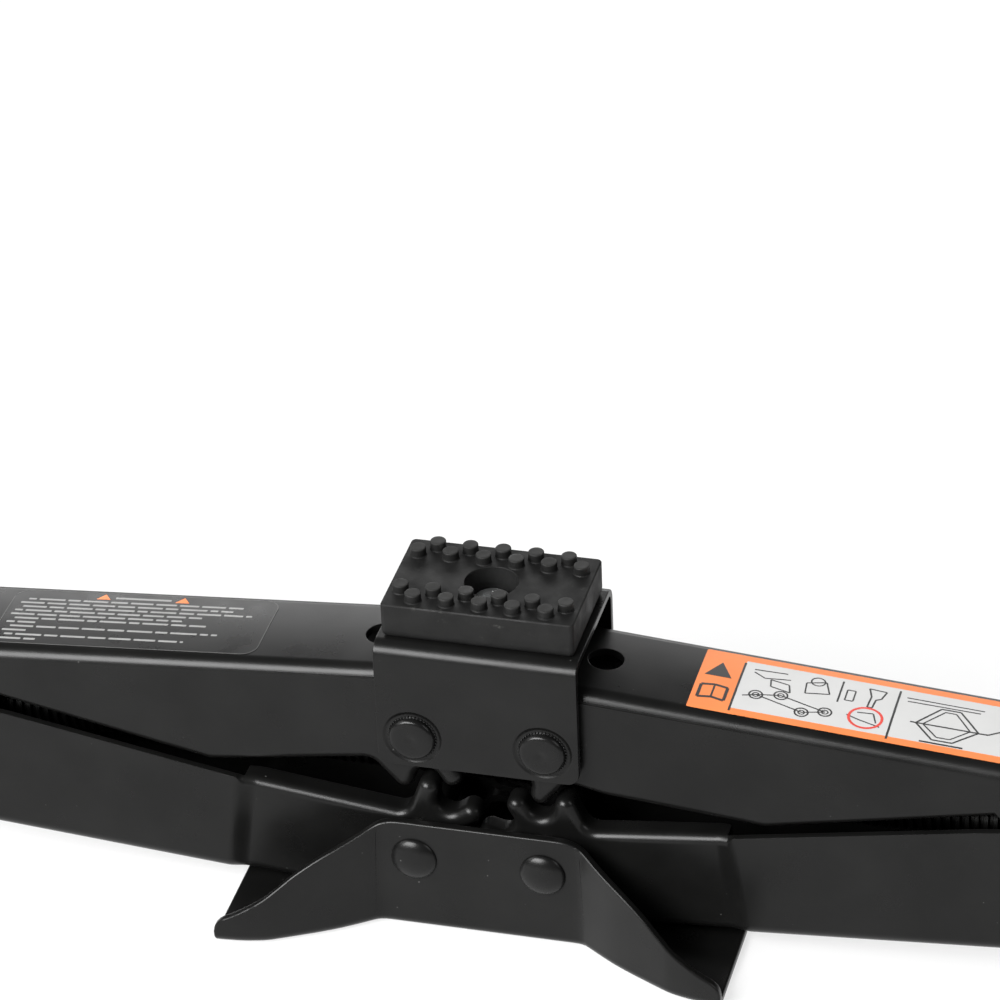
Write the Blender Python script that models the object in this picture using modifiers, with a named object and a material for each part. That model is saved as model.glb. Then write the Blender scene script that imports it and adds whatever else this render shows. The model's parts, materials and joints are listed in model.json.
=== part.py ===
"""Scissor jack: folded steel channel arms with formed gear teeth, a flared foot, a
saddle with a studded rubber pad, and a lead screw with a drive eye.

Frame: metres, +Z up, X along the lead screw (drive eye at +X), ground at Z = 0.
The jack is drawn folded down, its lowest position.
"""

import math

import bmesh
import bpy
from mathutils import Matrix, Vector

MM = 0.001
GAP = 0.3

# Linkage (millimetres)
PIVOT_X = 21.1
BASE_PIVOT_Z = 27.5
SADDLE_PIVOT_Z = 71.0
ARM_LENGTH = 165.0
FOLD_ANGLE = math.asin((SADDLE_PIVOT_Z - BASE_PIVOT_Z) / 2 / ARM_LENGTH)
SCREW_Z = (BASE_PIVOT_Z + SADDLE_PIVOT_Z) / 2
TRUNNION_X = PIVOT_X + ARM_LENGTH * math.cos(FOLD_ANGLE)

# Folded sheet
ARM_SHEET = 2.5
ARM_BEND = 5.0
LOWER_HALF_WIDTH = 23.1
LOWER_JOG = 1.6
JOG_START = 57.0
JOG_END = 62.0
UPPER_HALF_WIDTH = 20.2
FLANGE_DEPTH = 8.0
WEB_HOLE_RADIUS = 5.6

# Gear teeth round each pivot
TIP_CENTRE = 20.8
TIP_RADIUS = 3.4
ROOT_CENTRE = 19.6
ROOT_RADIUS = 4.1
HALF_PITCH = 22.5
EAR_RADIUS = 20.0

# Foot
FOOT_SHEET = 3.0
FOOT_HALF_WIDTH = 29.5
FOOT_WALL_TOP = 41.0

# Saddle
SADDLE_SHEET = 2.5
SADDLE_HALF_LENGTH = 32.7
SADDLE_HALF_WIDTH = 24.5
SADDLE_TOP = 104.6
SADDLE_WALL_FOOT = 59.9

# Pad
PAD_HALF_LENGTH = 31.0
PAD_HALF_WIDTH = 19.5
PAD_THICKNESS = 12.1
PAD_TOP = SADDLE_TOP + PAD_THICKNESS
STUD_RADIUS = 2.55
STUD_HEIGHT = 3.0
STUD_PITCH = 10.6
STUD_ROWS = ((15.2, 5), (10.5, 6))
COUNTERBORE_RADIUS = 8.5
COUNTERBORE_FLOOR = 106.6

# Pins
PIN_RADIUS = 5.0
RIVET_RADIUS = 7.5
JOURNAL_RADIUS = 7.0

# Lead screw and drive end, distances along X from the bearing trunnion's axis
SCREW_RADIUS = 7.0
SCREW_JOURNAL_RADIUS = 6.0
SCREW_LEFT_END = -219.0
BLOCK_HALF_LENGTH = 12.0
BLOCK_HALF_WIDTH = 17.2
BLOCK_HALF_HEIGHT = 14.0
WASHER_THICKNESS = 1.8
TRUNNION_WASHER = 1.6
BALL_ROW_WIDTH = 4.0
BALL_COUNT = 8
EYE_CENTRE = 48.0
EYE_RING_RADIUS = 11.5
EYE_WIRE_RADIUS = 4.5
HUB_RADIUS = 8.5

for old in list(bpy.data.objects):
    bpy.data.objects.remove(old, do_unlink=True)

part_collection = bpy.data.collections.new("scissor_jack")
cutter_collection = bpy.data.collections.new("cutters")
bpy.context.scene.collection.children.link(part_collection)
bpy.context.scene.collection.children.link(cutter_collection)


def make_material(name, colour, roughness, metallic):
    """Plain Principled material."""
    material = bpy.data.materials.new(name)
    material.use_nodes = True
    shader = material.node_tree.nodes["Principled BSDF"]
    shader.inputs["Base Color"].default_value = (*colour, 1.0)
    shader.inputs["Roughness"].default_value = roughness
    shader.inputs["Metallic"].default_value = metallic
    return material


BLACK_PAINT = make_material("black_paint", (0.030, 0.030, 0.029), 0.38, 0.0)
RIVET_BLACK = make_material("rivet_black", (0.026, 0.026, 0.026), 0.32, 0.0)
RUBBER = make_material("rubber", (0.055, 0.055, 0.053), 0.85, 0.0)
ZINC = make_material("zinc", (0.62, 0.62, 0.60), 0.30, 1.0)
STEEL = make_material("steel", (0.42, 0.41, 0.40), 0.34, 1.0)
CAST = make_material("dark_steel", (0.10, 0.10, 0.10), 0.50, 0.8)
BRASS = make_material("brass", (0.60, 0.45, 0.22), 0.35, 1.0)
LABEL_DARK = make_material("label_dark", (0.02, 0.02, 0.02), 0.15, 0.0)
LABEL_ORANGE = make_material("label_orange", (0.61, 0.19, 0.06), 0.30, 0.0)


def scratch_object(mesh):
    """Temporary object holding a mesh, kept with the cutters."""
    obj = bpy.data.objects.new("scratch", mesh)
    cutter_collection.objects.link(obj)
    obj.hide_render = True
    obj.display_type = "WIRE"
    return obj


def from_bmesh(bm):
    """Turn a bmesh into a scratch object."""
    bmesh.ops.recalc_face_normals(bm, faces=bm.faces)
    mesh = bpy.data.meshes.new("scratch")
    bm.to_mesh(mesh)
    bm.free()
    return scratch_object(mesh)


def axis_matrix(axis):
    """Turn a shape drawn in XY with its thickness along Z on to another axis.

    Y: drawn X, Y become world X, Z.  X: drawn X, Y become world Y, Z.
    """
    if axis == "Y":
        return Matrix(((1, 0, 0, 0), (0, 0, -1, 0), (0, 1, 0, 0), (0, 0, 0, 1)))
    if axis == "X":
        return Matrix(((0, 0, 1, 0), (1, 0, 0, 0), (0, 1, 0, 0), (0, 0, 0, 1)))
    return Matrix.Identity(4)


def slab(outline, low, high, axis="Z", holes=()):
    """Flat slab of a closed outline (mm), reaching from low to high along an axis."""
    curve = bpy.data.curves.new("outline", "CURVE")
    curve.dimensions = "2D"
    curve.fill_mode = "BOTH"
    curve.extrude = (high - low) / 2 * MM
    for loop in (outline, *holes):
        spline = curve.splines.new("POLY")
        spline.points.add(len(loop) - 1)
        for point, (a, b) in zip(spline.points, loop):
            point.co = (a * MM, b * MM, 0.0, 1.0)
        spline.use_cyclic_u = True
    drawn = bpy.data.objects.new("outline", curve)
    cutter_collection.objects.link(drawn)
    graph = bpy.context.evaluated_depsgraph_get()
    mesh = bpy.data.meshes.new_from_object(drawn.evaluated_get(graph))
    bpy.data.objects.remove(drawn, do_unlink=True)
    bm = bmesh.new()
    bm.from_mesh(mesh)
    bmesh.ops.remove_doubles(bm, verts=bm.verts, dist=1e-6)
    middle = {"X": (1, 0, 0), "Y": (0, 1, 0), "Z": (0, 0, 1)}[axis]
    shift = Vector(middle) * ((low + high) / 2 * MM)
    bmesh.ops.transform(bm, matrix=Matrix.Translation(shift) @ axis_matrix(axis), verts=bm.verts)
    return from_bmesh(bm)


def circle_points(radius, count, centre=(0.0, 0.0), start=0.0):
    """Points of a regular polygon standing for a circle."""
    points = []
    for index in range(count):
        angle = start + 2 * math.pi * index / count
        points.append((centre[0] + radius * math.cos(angle), centre[1] + radius * math.sin(angle)))
    return points


def cylinder(radius, low, high, axis, centre=(0.0, 0.0), count=20, end_radius=None):
    """Round bar or taper along an axis; centre is its place across that axis (mm)."""
    bm = bmesh.new()
    top = radius if end_radius is None else end_radius
    bmesh.ops.create_cone(bm, cap_ends=True, cap_tris=False, segments=count, radius1=radius * MM,
                          radius2=top * MM, depth=(high - low) * MM)
    move = Matrix.Translation(Vector((centre[0], centre[1], (low + high) / 2)) * MM)
    if axis == "Y":
        turn = Matrix(((1, 0, 0, 0), (0, 0, 1, 0), (0, 1, 0, 0), (0, 0, 0, 1)))
    elif axis == "X":
        turn = Matrix(((0, 0, 1, 0), (1, 0, 0, 0), (0, 1, 0, 0), (0, 0, 0, 1)))
    else:
        turn = Matrix.Identity(4)
    bmesh.ops.transform(bm, matrix=turn @ move, verts=bm.verts)
    return from_bmesh(bm)


def box(low, high, bevel=0.0, bevel_axis=None, segments=3):
    """Box between two corners (mm); the edges along one axis may be rounded."""
    bm = bmesh.new()
    bmesh.ops.create_cube(bm, size=1.0)
    size = [(b - a) * MM for a, b in zip(low, high)]
    middle = [(a + b) / 2 * MM for a, b in zip(low, high)]
    bmesh.ops.scale(bm, vec=size, verts=bm.verts)
    bmesh.ops.translate(bm, vec=middle, verts=bm.verts)
    if bevel:
        edges = []
        for edge in bm.edges:
            direction = edge.verts[1].co - edge.verts[0].co
            if abs(direction["XYZ".index(bevel_axis)]) > 0.9 * direction.length:
                edges.append(edge)
        bmesh.ops.bevel(bm, geom=edges, offset=bevel * MM, segments=segments, profile=0.5,
                        affect="EDGES", clamp_overlap=True)
    return from_bmesh(bm)


def revolve(profile, steps, axis="Z", centre=(0.0, 0.0, 0.0)):
    """Solid of revolution from (radius, height) points, run from the top to the bottom (mm)."""
    mesh = bpy.data.meshes.new("profile")
    points = [(r * MM, 0.0, h * MM) for r, h in profile]
    mesh.from_pydata(points, [(i, i + 1) for i in range(len(points) - 1)], [])
    obj = scratch_object(mesh)
    screw = obj.modifiers.new("turn", "SCREW")
    screw.steps = steps
    screw.render_steps = steps
    screw.use_merge_vertices = True
    screw.merge_threshold = 1e-5
    screw.use_normal_calculate = True
    applied(obj)
    bm = bmesh.new()
    bm.from_mesh(obj.data)
    bmesh.ops.remove_doubles(bm, verts=bm.verts, dist=1e-6)
    turn = Matrix.Identity(4)
    if axis == "Y":
        turn = Matrix.Rotation(math.radians(-90), 4, "X")
    elif axis == "X":
        turn = Matrix.Rotation(math.radians(90), 4, "Y")
    move = Matrix.Translation(Vector(centre) * MM)
    bmesh.ops.transform(bm, matrix=move @ turn, verts=bm.verts)
    bmesh.ops.recalc_face_normals(bm, faces=bm.faces)
    bm.to_mesh(obj.data)
    bm.free()
    return obj


def applied(obj):
    """Bake an object's modifiers into its mesh."""
    graph = bpy.context.evaluated_depsgraph_get()
    mesh = bpy.data.meshes.new_from_object(obj.evaluated_get(graph))
    obj.modifiers.clear()
    obj.data = mesh
    return obj


def combine(target, other, operation):
    """Boolean one scratch object with another and drop the other."""
    modifier = target.modifiers.new(operation.lower(), "BOOLEAN")
    modifier.operation = operation
    modifier.solver = "EXACT"
    modifier.object = other
    applied(target)
    bpy.data.objects.remove(other, do_unlink=True)
    return target


def cut(target, *tools):
    """Take each tool out of the target."""
    for tool in tools:
        combine(target, tool, "DIFFERENCE")
    return target


def fuse(target, *tools):
    """Join each tool to the target."""
    for tool in tools:
        combine(target, tool, "UNION")
    return target


def gather(objects):
    """Put separate tools in one mesh, to use them in one Boolean."""
    bm = bmesh.new()
    for obj in objects:
        bm.from_mesh(obj.data)
        bpy.data.objects.remove(obj, do_unlink=True)
    return from_bmesh(bm)


def finish(obj, name, material, origin=(0.0, 0.0, 0.0), smooth_angle=35.0):
    """Name a solid, put its origin in place and move it to the part's collection."""
    place = Vector(origin) * MM
    mesh = obj.data
    mesh.transform(Matrix.Translation(-place))
    mesh.materials.clear()
    mesh.materials.append(material)
    for polygon in mesh.polygons:
        polygon.material_index = 0
    mesh.shade_smooth()
    mesh.set_sharp_from_angle(angle=math.radians(smooth_angle))
    mesh.name = name
    obj.name = name
    obj.location = place
    obj.hide_render = False
    obj.display_type = "TEXTURED"
    cutter_collection.objects.unlink(obj)
    part_collection.objects.link(obj)
    return obj


def tangent(first, second):
    """Common tangent of two turning circles, each (centre, radius, side)."""
    (x1, y1), r1, s1 = first
    (x2, y2), r2, s2 = second
    dx = x2 - x1
    dy = y2 - y1
    reach = math.hypot(dx, dy)
    offset = s2 * r2 - s1 * r1
    run = math.sqrt(reach * reach - offset * offset)
    heading = math.atan2(dy, dx) - math.atan2(offset, run)
    left = (-math.sin(heading), math.cos(heading))
    start = (x1 - s1 * r1 * left[0], y1 - s1 * r1 * left[1])
    end = (x2 - s2 * r2 * left[0], y2 - s2 * r2 * left[1])
    return heading, start, end


def rounded_path(circles, step=42.0):
    """Points of a path of tangent lines and arcs; side +1 turns left, -1 turns right."""
    runs = [tangent(a, b) for a, b in zip(circles, circles[1:])]
    points = [runs[0][1]]
    for index in range(1, len(circles) - 1):
        (cx, cy), radius, side = circles[index]
        arriving = runs[index - 1][0]
        turn = side * ((side * (runs[index][0] - arriving) + 1e-9) % (2 * math.pi))
        count = max(1, math.ceil(abs(math.degrees(turn)) / step))
        for k in range(count + 1):
            heading = arriving + turn * k / count
            points.append((cx + side * radius * math.sin(heading), cy - side * radius * math.cos(heading)))
    points.append(runs[-1][2])
    return points


def polar(phase, radius):
    """Point at a tooth phase: 0 degrees faces along the arm's inner end, 90 the toothed side."""
    angle = math.radians(phase)
    return (-radius * math.cos(angle), -radius * math.sin(angle))


TEETH_A = (90.0, 45.0, 0.0)
TEETH_B = (112.5, 67.5, 22.5)


def toothed_edge(phases, upper, inset=0.0):
    """Edge of an arm's wall from its plain part in round the teeth, moved in by inset."""
    first = phases[0]
    if upper:
        circles = [((142.0, 11.7), inset, 1), ((71.0, -6.9), 6.0 - inset, -1)]
        if first == 90.0:
            circles += [((20.5, -10.9), 4.0 - inset, -1), ((10.2, -18.2), 4.3 + inset, 1)]
        else:
            circles.append(((19.6, -16.2), 4.5 + inset, 1))
    else:
        circles = [((JOG_END - 2.0, -9.8), inset, 1)]
        circles.append(((9.5 if first == 90.0 else 17.5, -15.1), 4.7 + inset, 1))
    for index, phase in enumerate(phases):
        if index:
            circles.append((polar(phase + HALF_PITCH, ROOT_CENTRE), ROOT_RADIUS + inset, 1))
        circles.append((polar(phase, TIP_CENTRE), TIP_RADIUS - inset, -1))
    last = phases[-1]
    circles.append((polar(last - HALF_PITCH, ROOT_CENTRE), ROOT_RADIUS + inset, 1))
    circles.append((polar(last - 52.0, 16.0), 4.0 - inset, -1))
    circles.append((polar(last - 53.0, 16.0), 4.0 - inset, -1))
    return rounded_path(circles)


def arm(name, side, level):
    """One folded channel arm with teeth round its pivot; side and level are +1 or -1."""
    upper = level > 0
    half_width = UPPER_HALF_WIDTH if upper else LOWER_HALF_WIDTH
    phases = TEETH_A if side * level > 0 else TEETH_B
    web_near = 22.2 if upper else 24.6
    web_far = 31.2 if upper else 33.5
    slope = (web_far - web_near) / ARM_LENGTH
    web_start = 2.0 if upper else 8.0
    web_end = ARM_LENGTH + 0.5
    ear = 14.0 if upper else 14.5

    outline = [(web_start, 45.0), (web_end, 45.0), (web_end, 19.0)]
    outline += [(ARM_LENGTH + ear * math.cos(math.radians(a)), ear * math.sin(math.radians(a)))
                for a in range(75, -151 if upper else -76, -15)]
    if upper:
        outline += [(151.0, -3.0), (149.0, 4.5), (146.0, 9.5)]
    else:
        outline += [(ARM_LENGTH - 7.0, -ear + 0.5), (ARM_LENGTH - 25.0, -13.9), (JOG_END, -10.3)]
    outline += toothed_edge(phases, upper)
    outline += [polar(a, EAR_RADIUS) for a in range(int(phases[-1]) - 58, -95, -9)]
    outline.append((web_start, EAR_RADIUS - 0.3 if upper else 18.3))

    cavity = [(-60.0, web_near - ARM_SHEET + 60.0), (240.0, web_near - ARM_SHEET + 60.0), (240.0, -60.0)]
    inner = toothed_edge(phases, upper, ARM_SHEET)
    cavity.append((inner[0][0], -60.0))
    cavity += inner
    cavity.append(polar(phases[-1] - 60.0, 60.0))

    def bar(inset, bend):
        section = [(half_width - inset, -60.0)]
        for k in range(4):
            angle = math.radians(30.0 * k)
            section.append((half_width - inset - bend + bend * math.cos(angle),
                            web_near - inset - bend + bend * math.sin(angle)))
        section += [(-y, z) for y, z in reversed(section)]
        solid = slab(section, -60.0, 240.0, "X")
        shear = Matrix.Identity(4)
        shear[2][0] = slope
        solid.data.transform(shear)
        return solid

    body = combine(bar(0.0, ARM_BEND), slab(outline, -60.0, 60.0, "Y"), "INTERSECT")
    hollow = combine(bar(ARM_SHEET, ARM_BEND - ARM_SHEET), slab(cavity, -50.0, 50.0, "Y"), "INTERSECT")
    slot_half = half_width - FLANGE_DEPTH
    cut(body, hollow, box((-60.0, -slot_half, -60.0), (230.0, slot_half, 15.0)))
    cut(body, cylinder(PIN_RADIUS + GAP, -40.0, 40.0, "Y"))
    cut(body, cylinder(JOURNAL_RADIUS + GAP, -40.0, 40.0, "Y", (ARM_LENGTH, 0.0)))
    if upper:
        cut(body, cylinder(WEB_HOLE_RADIUS, 10.0, 50.0, "Z", (12.2, 0.0), 20))
    else:
        jog(body)
    turn = Matrix.Rotation(side * level * FOLD_ANGLE, 4, "Y")
    body.data.transform(turn @ Matrix.Diagonal((side, 1.0, level, 1.0)))
    if side * level < 0:
        body.data.flip_normals()
    pivot = Vector((side * PIVOT_X, 0.0, SADDLE_PIVOT_Z if upper else BASE_PIVOT_Z))
    body.data.transform(Matrix.Translation(pivot * MM))
    return finish(body, name, BLACK_PAINT, pivot)


def jog(obj):
    """Step the walls inward over a short length so the pivot end fits inside the foot."""
    bm = bmesh.new()
    bm.from_mesh(obj.data)
    for place in (JOG_START, JOG_END):
        everything = bm.verts[:] + bm.edges[:] + bm.faces[:]
        bmesh.ops.bisect_plane(bm, geom=everything, dist=1e-7, plane_co=(place * MM, 0, 0), plane_no=(1, 0, 0))
    for vert in bm.verts:
        if abs(vert.co.y) > 12.0 * MM:
            share = (JOG_END * MM - vert.co.x) / ((JOG_END - JOG_START) * MM)
            vert.co.y -= math.copysign(LOWER_JOG * MM * min(1.0, max(0.0, share)), vert.co.y)
    bm.to_mesh(obj.data)
    bm.free()


def foot():
    """Flared foot: floor plate with walls that follow its waisted outline."""
    half = [(0.0, FOOT_HALF_WIDTH), (32.0, FOOT_HALF_WIDTH), (34.5, 30.5), (39.5, 34.0), (45.0, 37.6),
            (51.0, 41.0), (57.0, 44.1), (62.0, 46.7), (66.0, 48.6), (71.0, 49.8), (83.0, 51.2)]

    slopes = [(b[1] - a[1]) / (b[0] - a[0]) for a, b in zip(half, half[1:])] + [0.0]
    lean = [math.hypot(1.0, (slopes[max(k - 1, 0)] + slopes[k]) / 2) for k in range(len(half))]

    def plan(inset, stretch):
        side = [(x, y - inset * f) for (x, y), f in zip(half[1:], lean[1:])]
        side.append((side[-1][0] + stretch, side[-1][1]))
        right = side + [(x, -y) for x, y in reversed(side)]
        return right + [(-x, -y) for x, y in right]

    def tub(inset, stretch, low, high, bend):
        rings = []
        bm = bmesh.new()
        for k in range(5):
            angle = math.radians(min(30.0 * k, 90.0))
            z = high if k == 4 else low + bend * (1.0 - math.cos(angle))
            outline = plan(inset + bend * (1.0 - math.sin(angle)), stretch)
            rings.append([bm.verts.new(Vector((x, y, z)) * MM) for x, y in outline])
        for below, above in zip(rings, rings[1:]):
            for a in range(len(below)):
                b = (a + 1) % len(below)
                bm.faces.new((below[a], below[b], above[b], above[a]))
        bm.faces.new(rings[0])
        bm.faces.new(rings[-1])
        return from_bmesh(bm)

    wall = [(28.0, FOOT_WALL_TOP), (31.5, 39.9), (35.0, 38.0), (40.0, 35.2), (46.0, 32.2), (51.0, 29.6),
            (57.0, 25.6), (62.0, 21.3), (67.0, 17.2), (72.0, 13.9), (77.0, 11.0), (80.5, 9.3),
            (82.4, 7.2), (83.0, 4.6), (83.0, -5.0)]
    profile = wall + [(-x, z) for x, z in reversed(wall)]
    body = combine(tub(0.0, 6.0, 0.0, 60.0, 6.0), slab(profile, -70.0, 70.0, "Y"), "INTERSECT")
    cut(body, tub(FOOT_SHEET, 12.0, FOOT_SHEET, 70.0, 3.0))
    for side in (-1, 1):
        cut(body, cylinder(PIN_RADIUS + GAP, -60.0, 60.0, "Y", (side * PIVOT_X, BASE_PIVOT_Z)))
    return finish(body, "base_foot", BLACK_PAINT)


def saddle():
    """Inverted channel that joins the upper arms and carries the pad."""
    body = box((-SADDLE_HALF_LENGTH, -SADDLE_HALF_WIDTH, SADDLE_WALL_FOOT - 20.0),
               (SADDLE_HALF_LENGTH, SADDLE_HALF_WIDTH, SADDLE_TOP), 5.0, "X", 4)
    corner = 4.0
    low = SADDLE_WALL_FOOT
    reach = SADDLE_HALF_LENGTH
    arc = []
    for k in range(4):
        angle = math.radians(30.0 * k)
        arc.append((reach - corner + corner * math.cos(angle), low + corner - corner * math.sin(angle)))
    outline = [(reach + 0.0, SADDLE_TOP + 5.0)] + arc
    outline = outline + [(-x, z) for x, z in reversed(outline)]
    body = combine(body, slab(outline, -40.0, 40.0, "Y"), "INTERSECT")
    inner = SADDLE_HALF_WIDTH - SADDLE_SHEET
    ceiling = SADDLE_TOP - SADDLE_SHEET
    cut(body, box((-50.0, -inner, 0.0), (50.0, inner, ceiling), 2.5, "X", 3))
    for side in (-1, 1):
        cut(body, cylinder(PIN_RADIUS + GAP, -60.0, 60.0, "Y", (side * PIVOT_X, SADDLE_PIVOT_Z)))
    cut(body, cylinder(4.0 + GAP, 90.0, 120.0, "Z"))
    return finish(body, "saddle_bracket", BLACK_PAINT)


def rivet_pin(name, x, z, half_span, rise):
    """Pivot pin with a domed head at each end; half_span is to the wall's outer face."""
    start = half_span + GAP
    quarter = [(0.0, start + rise), (RIVET_RADIUS * 0.55, start + rise * 0.9),
               (RIVET_RADIUS * 0.88, start + rise * 0.5), (RIVET_RADIUS, start), (PIN_RADIUS, start)]
    profile = quarter + [(r, -h) for r, h in reversed(quarter)]
    return finish(revolve(profile, 20, "Y", (x, 0.0, z)), name, RIVET_BLACK, (x, 0.0, z))


def ring(outer, inner, low, high, axis, centre=(0.0, 0.0), count=20):
    """Flat washer."""
    body = cylinder(outer, low, high, axis, centre, count)
    return cut(body, cylinder(inner, low - 1.0, high + 1.0, axis, centre, count))


def spacers(name, z, inner_face, outer_face):
    """Four spacer washers on the pins between the arms' walls and their bracket."""
    for x, across in ((-PIVOT_X, "left"), (PIVOT_X, "right")):
        for side, depth in ((-1, "front"), (1, "back")):
            low, high = sorted((side * (inner_face + GAP), side * (outer_face - GAP)))
            spacer = ring(8.5, PIN_RADIUS + GAP, low, high, "Y", (x, z), 16)
            finish(spacer, f"{name}_{across}_{depth}", STEEL, (x, 0.0, z))


def rubber_pad():
    """Rubber block with rows of studs and a counterbore for its screw."""
    pad = box((-PAD_HALF_LENGTH, -PAD_HALF_WIDTH, SADDLE_TOP + GAP),
              (PAD_HALF_LENGTH, PAD_HALF_WIDTH, PAD_TOP), 1.2, "Z", 2)
    studs = []
    for row, count in STUD_ROWS:
        for index in range(count):
            x = (index - (count - 1) / 2) * STUD_PITCH
            for y in (-row, row):
                studs.append(cylinder(STUD_RADIUS, PAD_TOP - 0.5, PAD_TOP + STUD_HEIGHT, "Z", (x, y), 8))
    fuse(pad, gather(studs))
    cut(pad, cylinder(COUNTERBORE_RADIUS, COUNTERBORE_FLOOR, 140.0, "Z"), cylinder(4.3, 90.0, 120.0, "Z"))
    return finish(pad, "rubber_pad", RUBBER)


def pad_fastener():
    """Pan head screw with washer and nut that holds the pad to the saddle."""
    seat = COUNTERBORE_FLOOR + GAP
    finish(ring(8.0, 4.3, seat, seat + 1.2, "Z"), "pad_washer", ZINC)
    head = seat + 1.2 + GAP
    profile = [(0.0, head + 3.0), (3.0, head + 2.8), (5.0, head + 2.0), (6.0, head + 0.8), (6.0, head),
               (4.0, head), (4.0, 93.4), (3.4, 92.8), (0.0, 92.8)]
    screw = revolve(profile, 16)
    for low, high in (((-3.2, -0.7), (3.2, 0.7)), ((-0.7, -3.2), (0.7, 3.2))):
        cut(screw, box((*low, head + 1.2), (*high, head + 9.0)))
    finish(screw, "pad_screw", ZINC)
    top = SADDLE_TOP - SADDLE_SHEET - GAP
    nut = slab(circle_points(7.5, 6), top - 6.4, top)
    cut(nut, cylinder(4.0 + GAP, 80.0, 120.0, "Z"))
    finish(nut, "pad_nut", ZINC)


def trunnion(name, side, bore, material):
    """Block on the screw with a journal each side that both arms turn on."""
    x = side * TRUNNION_X
    body = box((x - BLOCK_HALF_LENGTH, -BLOCK_HALF_WIDTH, SCREW_Z - BLOCK_HALF_HEIGHT),
               (x + BLOCK_HALF_LENGTH, BLOCK_HALF_WIDTH, SCREW_Z + BLOCK_HALF_HEIGHT), 5.0, "Y", 3)
    end = LOWER_HALF_WIDTH + GAP + TRUNNION_WASHER + GAP
    quarter = [(0.0, end + 2.4), (4.5, end + 2.2), (8.2, end + 1.2), (9.0, end), (JOURNAL_RADIUS, end)]
    journal = revolve(quarter + [(r, -h) for r, h in reversed(quarter)], 20, "Y", (x, 0.0, SCREW_Z))
    fuse(body, journal)
    cut(body, cylinder(bore, x - 40.0, x + 40.0, "X", (0.0, SCREW_Z)))
    return finish(body, name, material, (x, 0.0, SCREW_Z))


def trunnion_washers(name, side):
    """Washers between the lower arm's walls and the journal heads."""
    centre = (side * TRUNNION_X, SCREW_Z)
    for face, depth in ((-1, "front"), (1, "back")):
        near = LOWER_HALF_WIDTH + GAP
        low, high = sorted((face * near, face * (near + TRUNNION_WASHER)))
        washer = ring(10.5, JOURNAL_RADIUS + GAP, low, high, "Y", centre, 20)
        finish(washer, f"{name}_{depth}", STEEL, (side * TRUNNION_X, 0.0, SCREW_Z))


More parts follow.
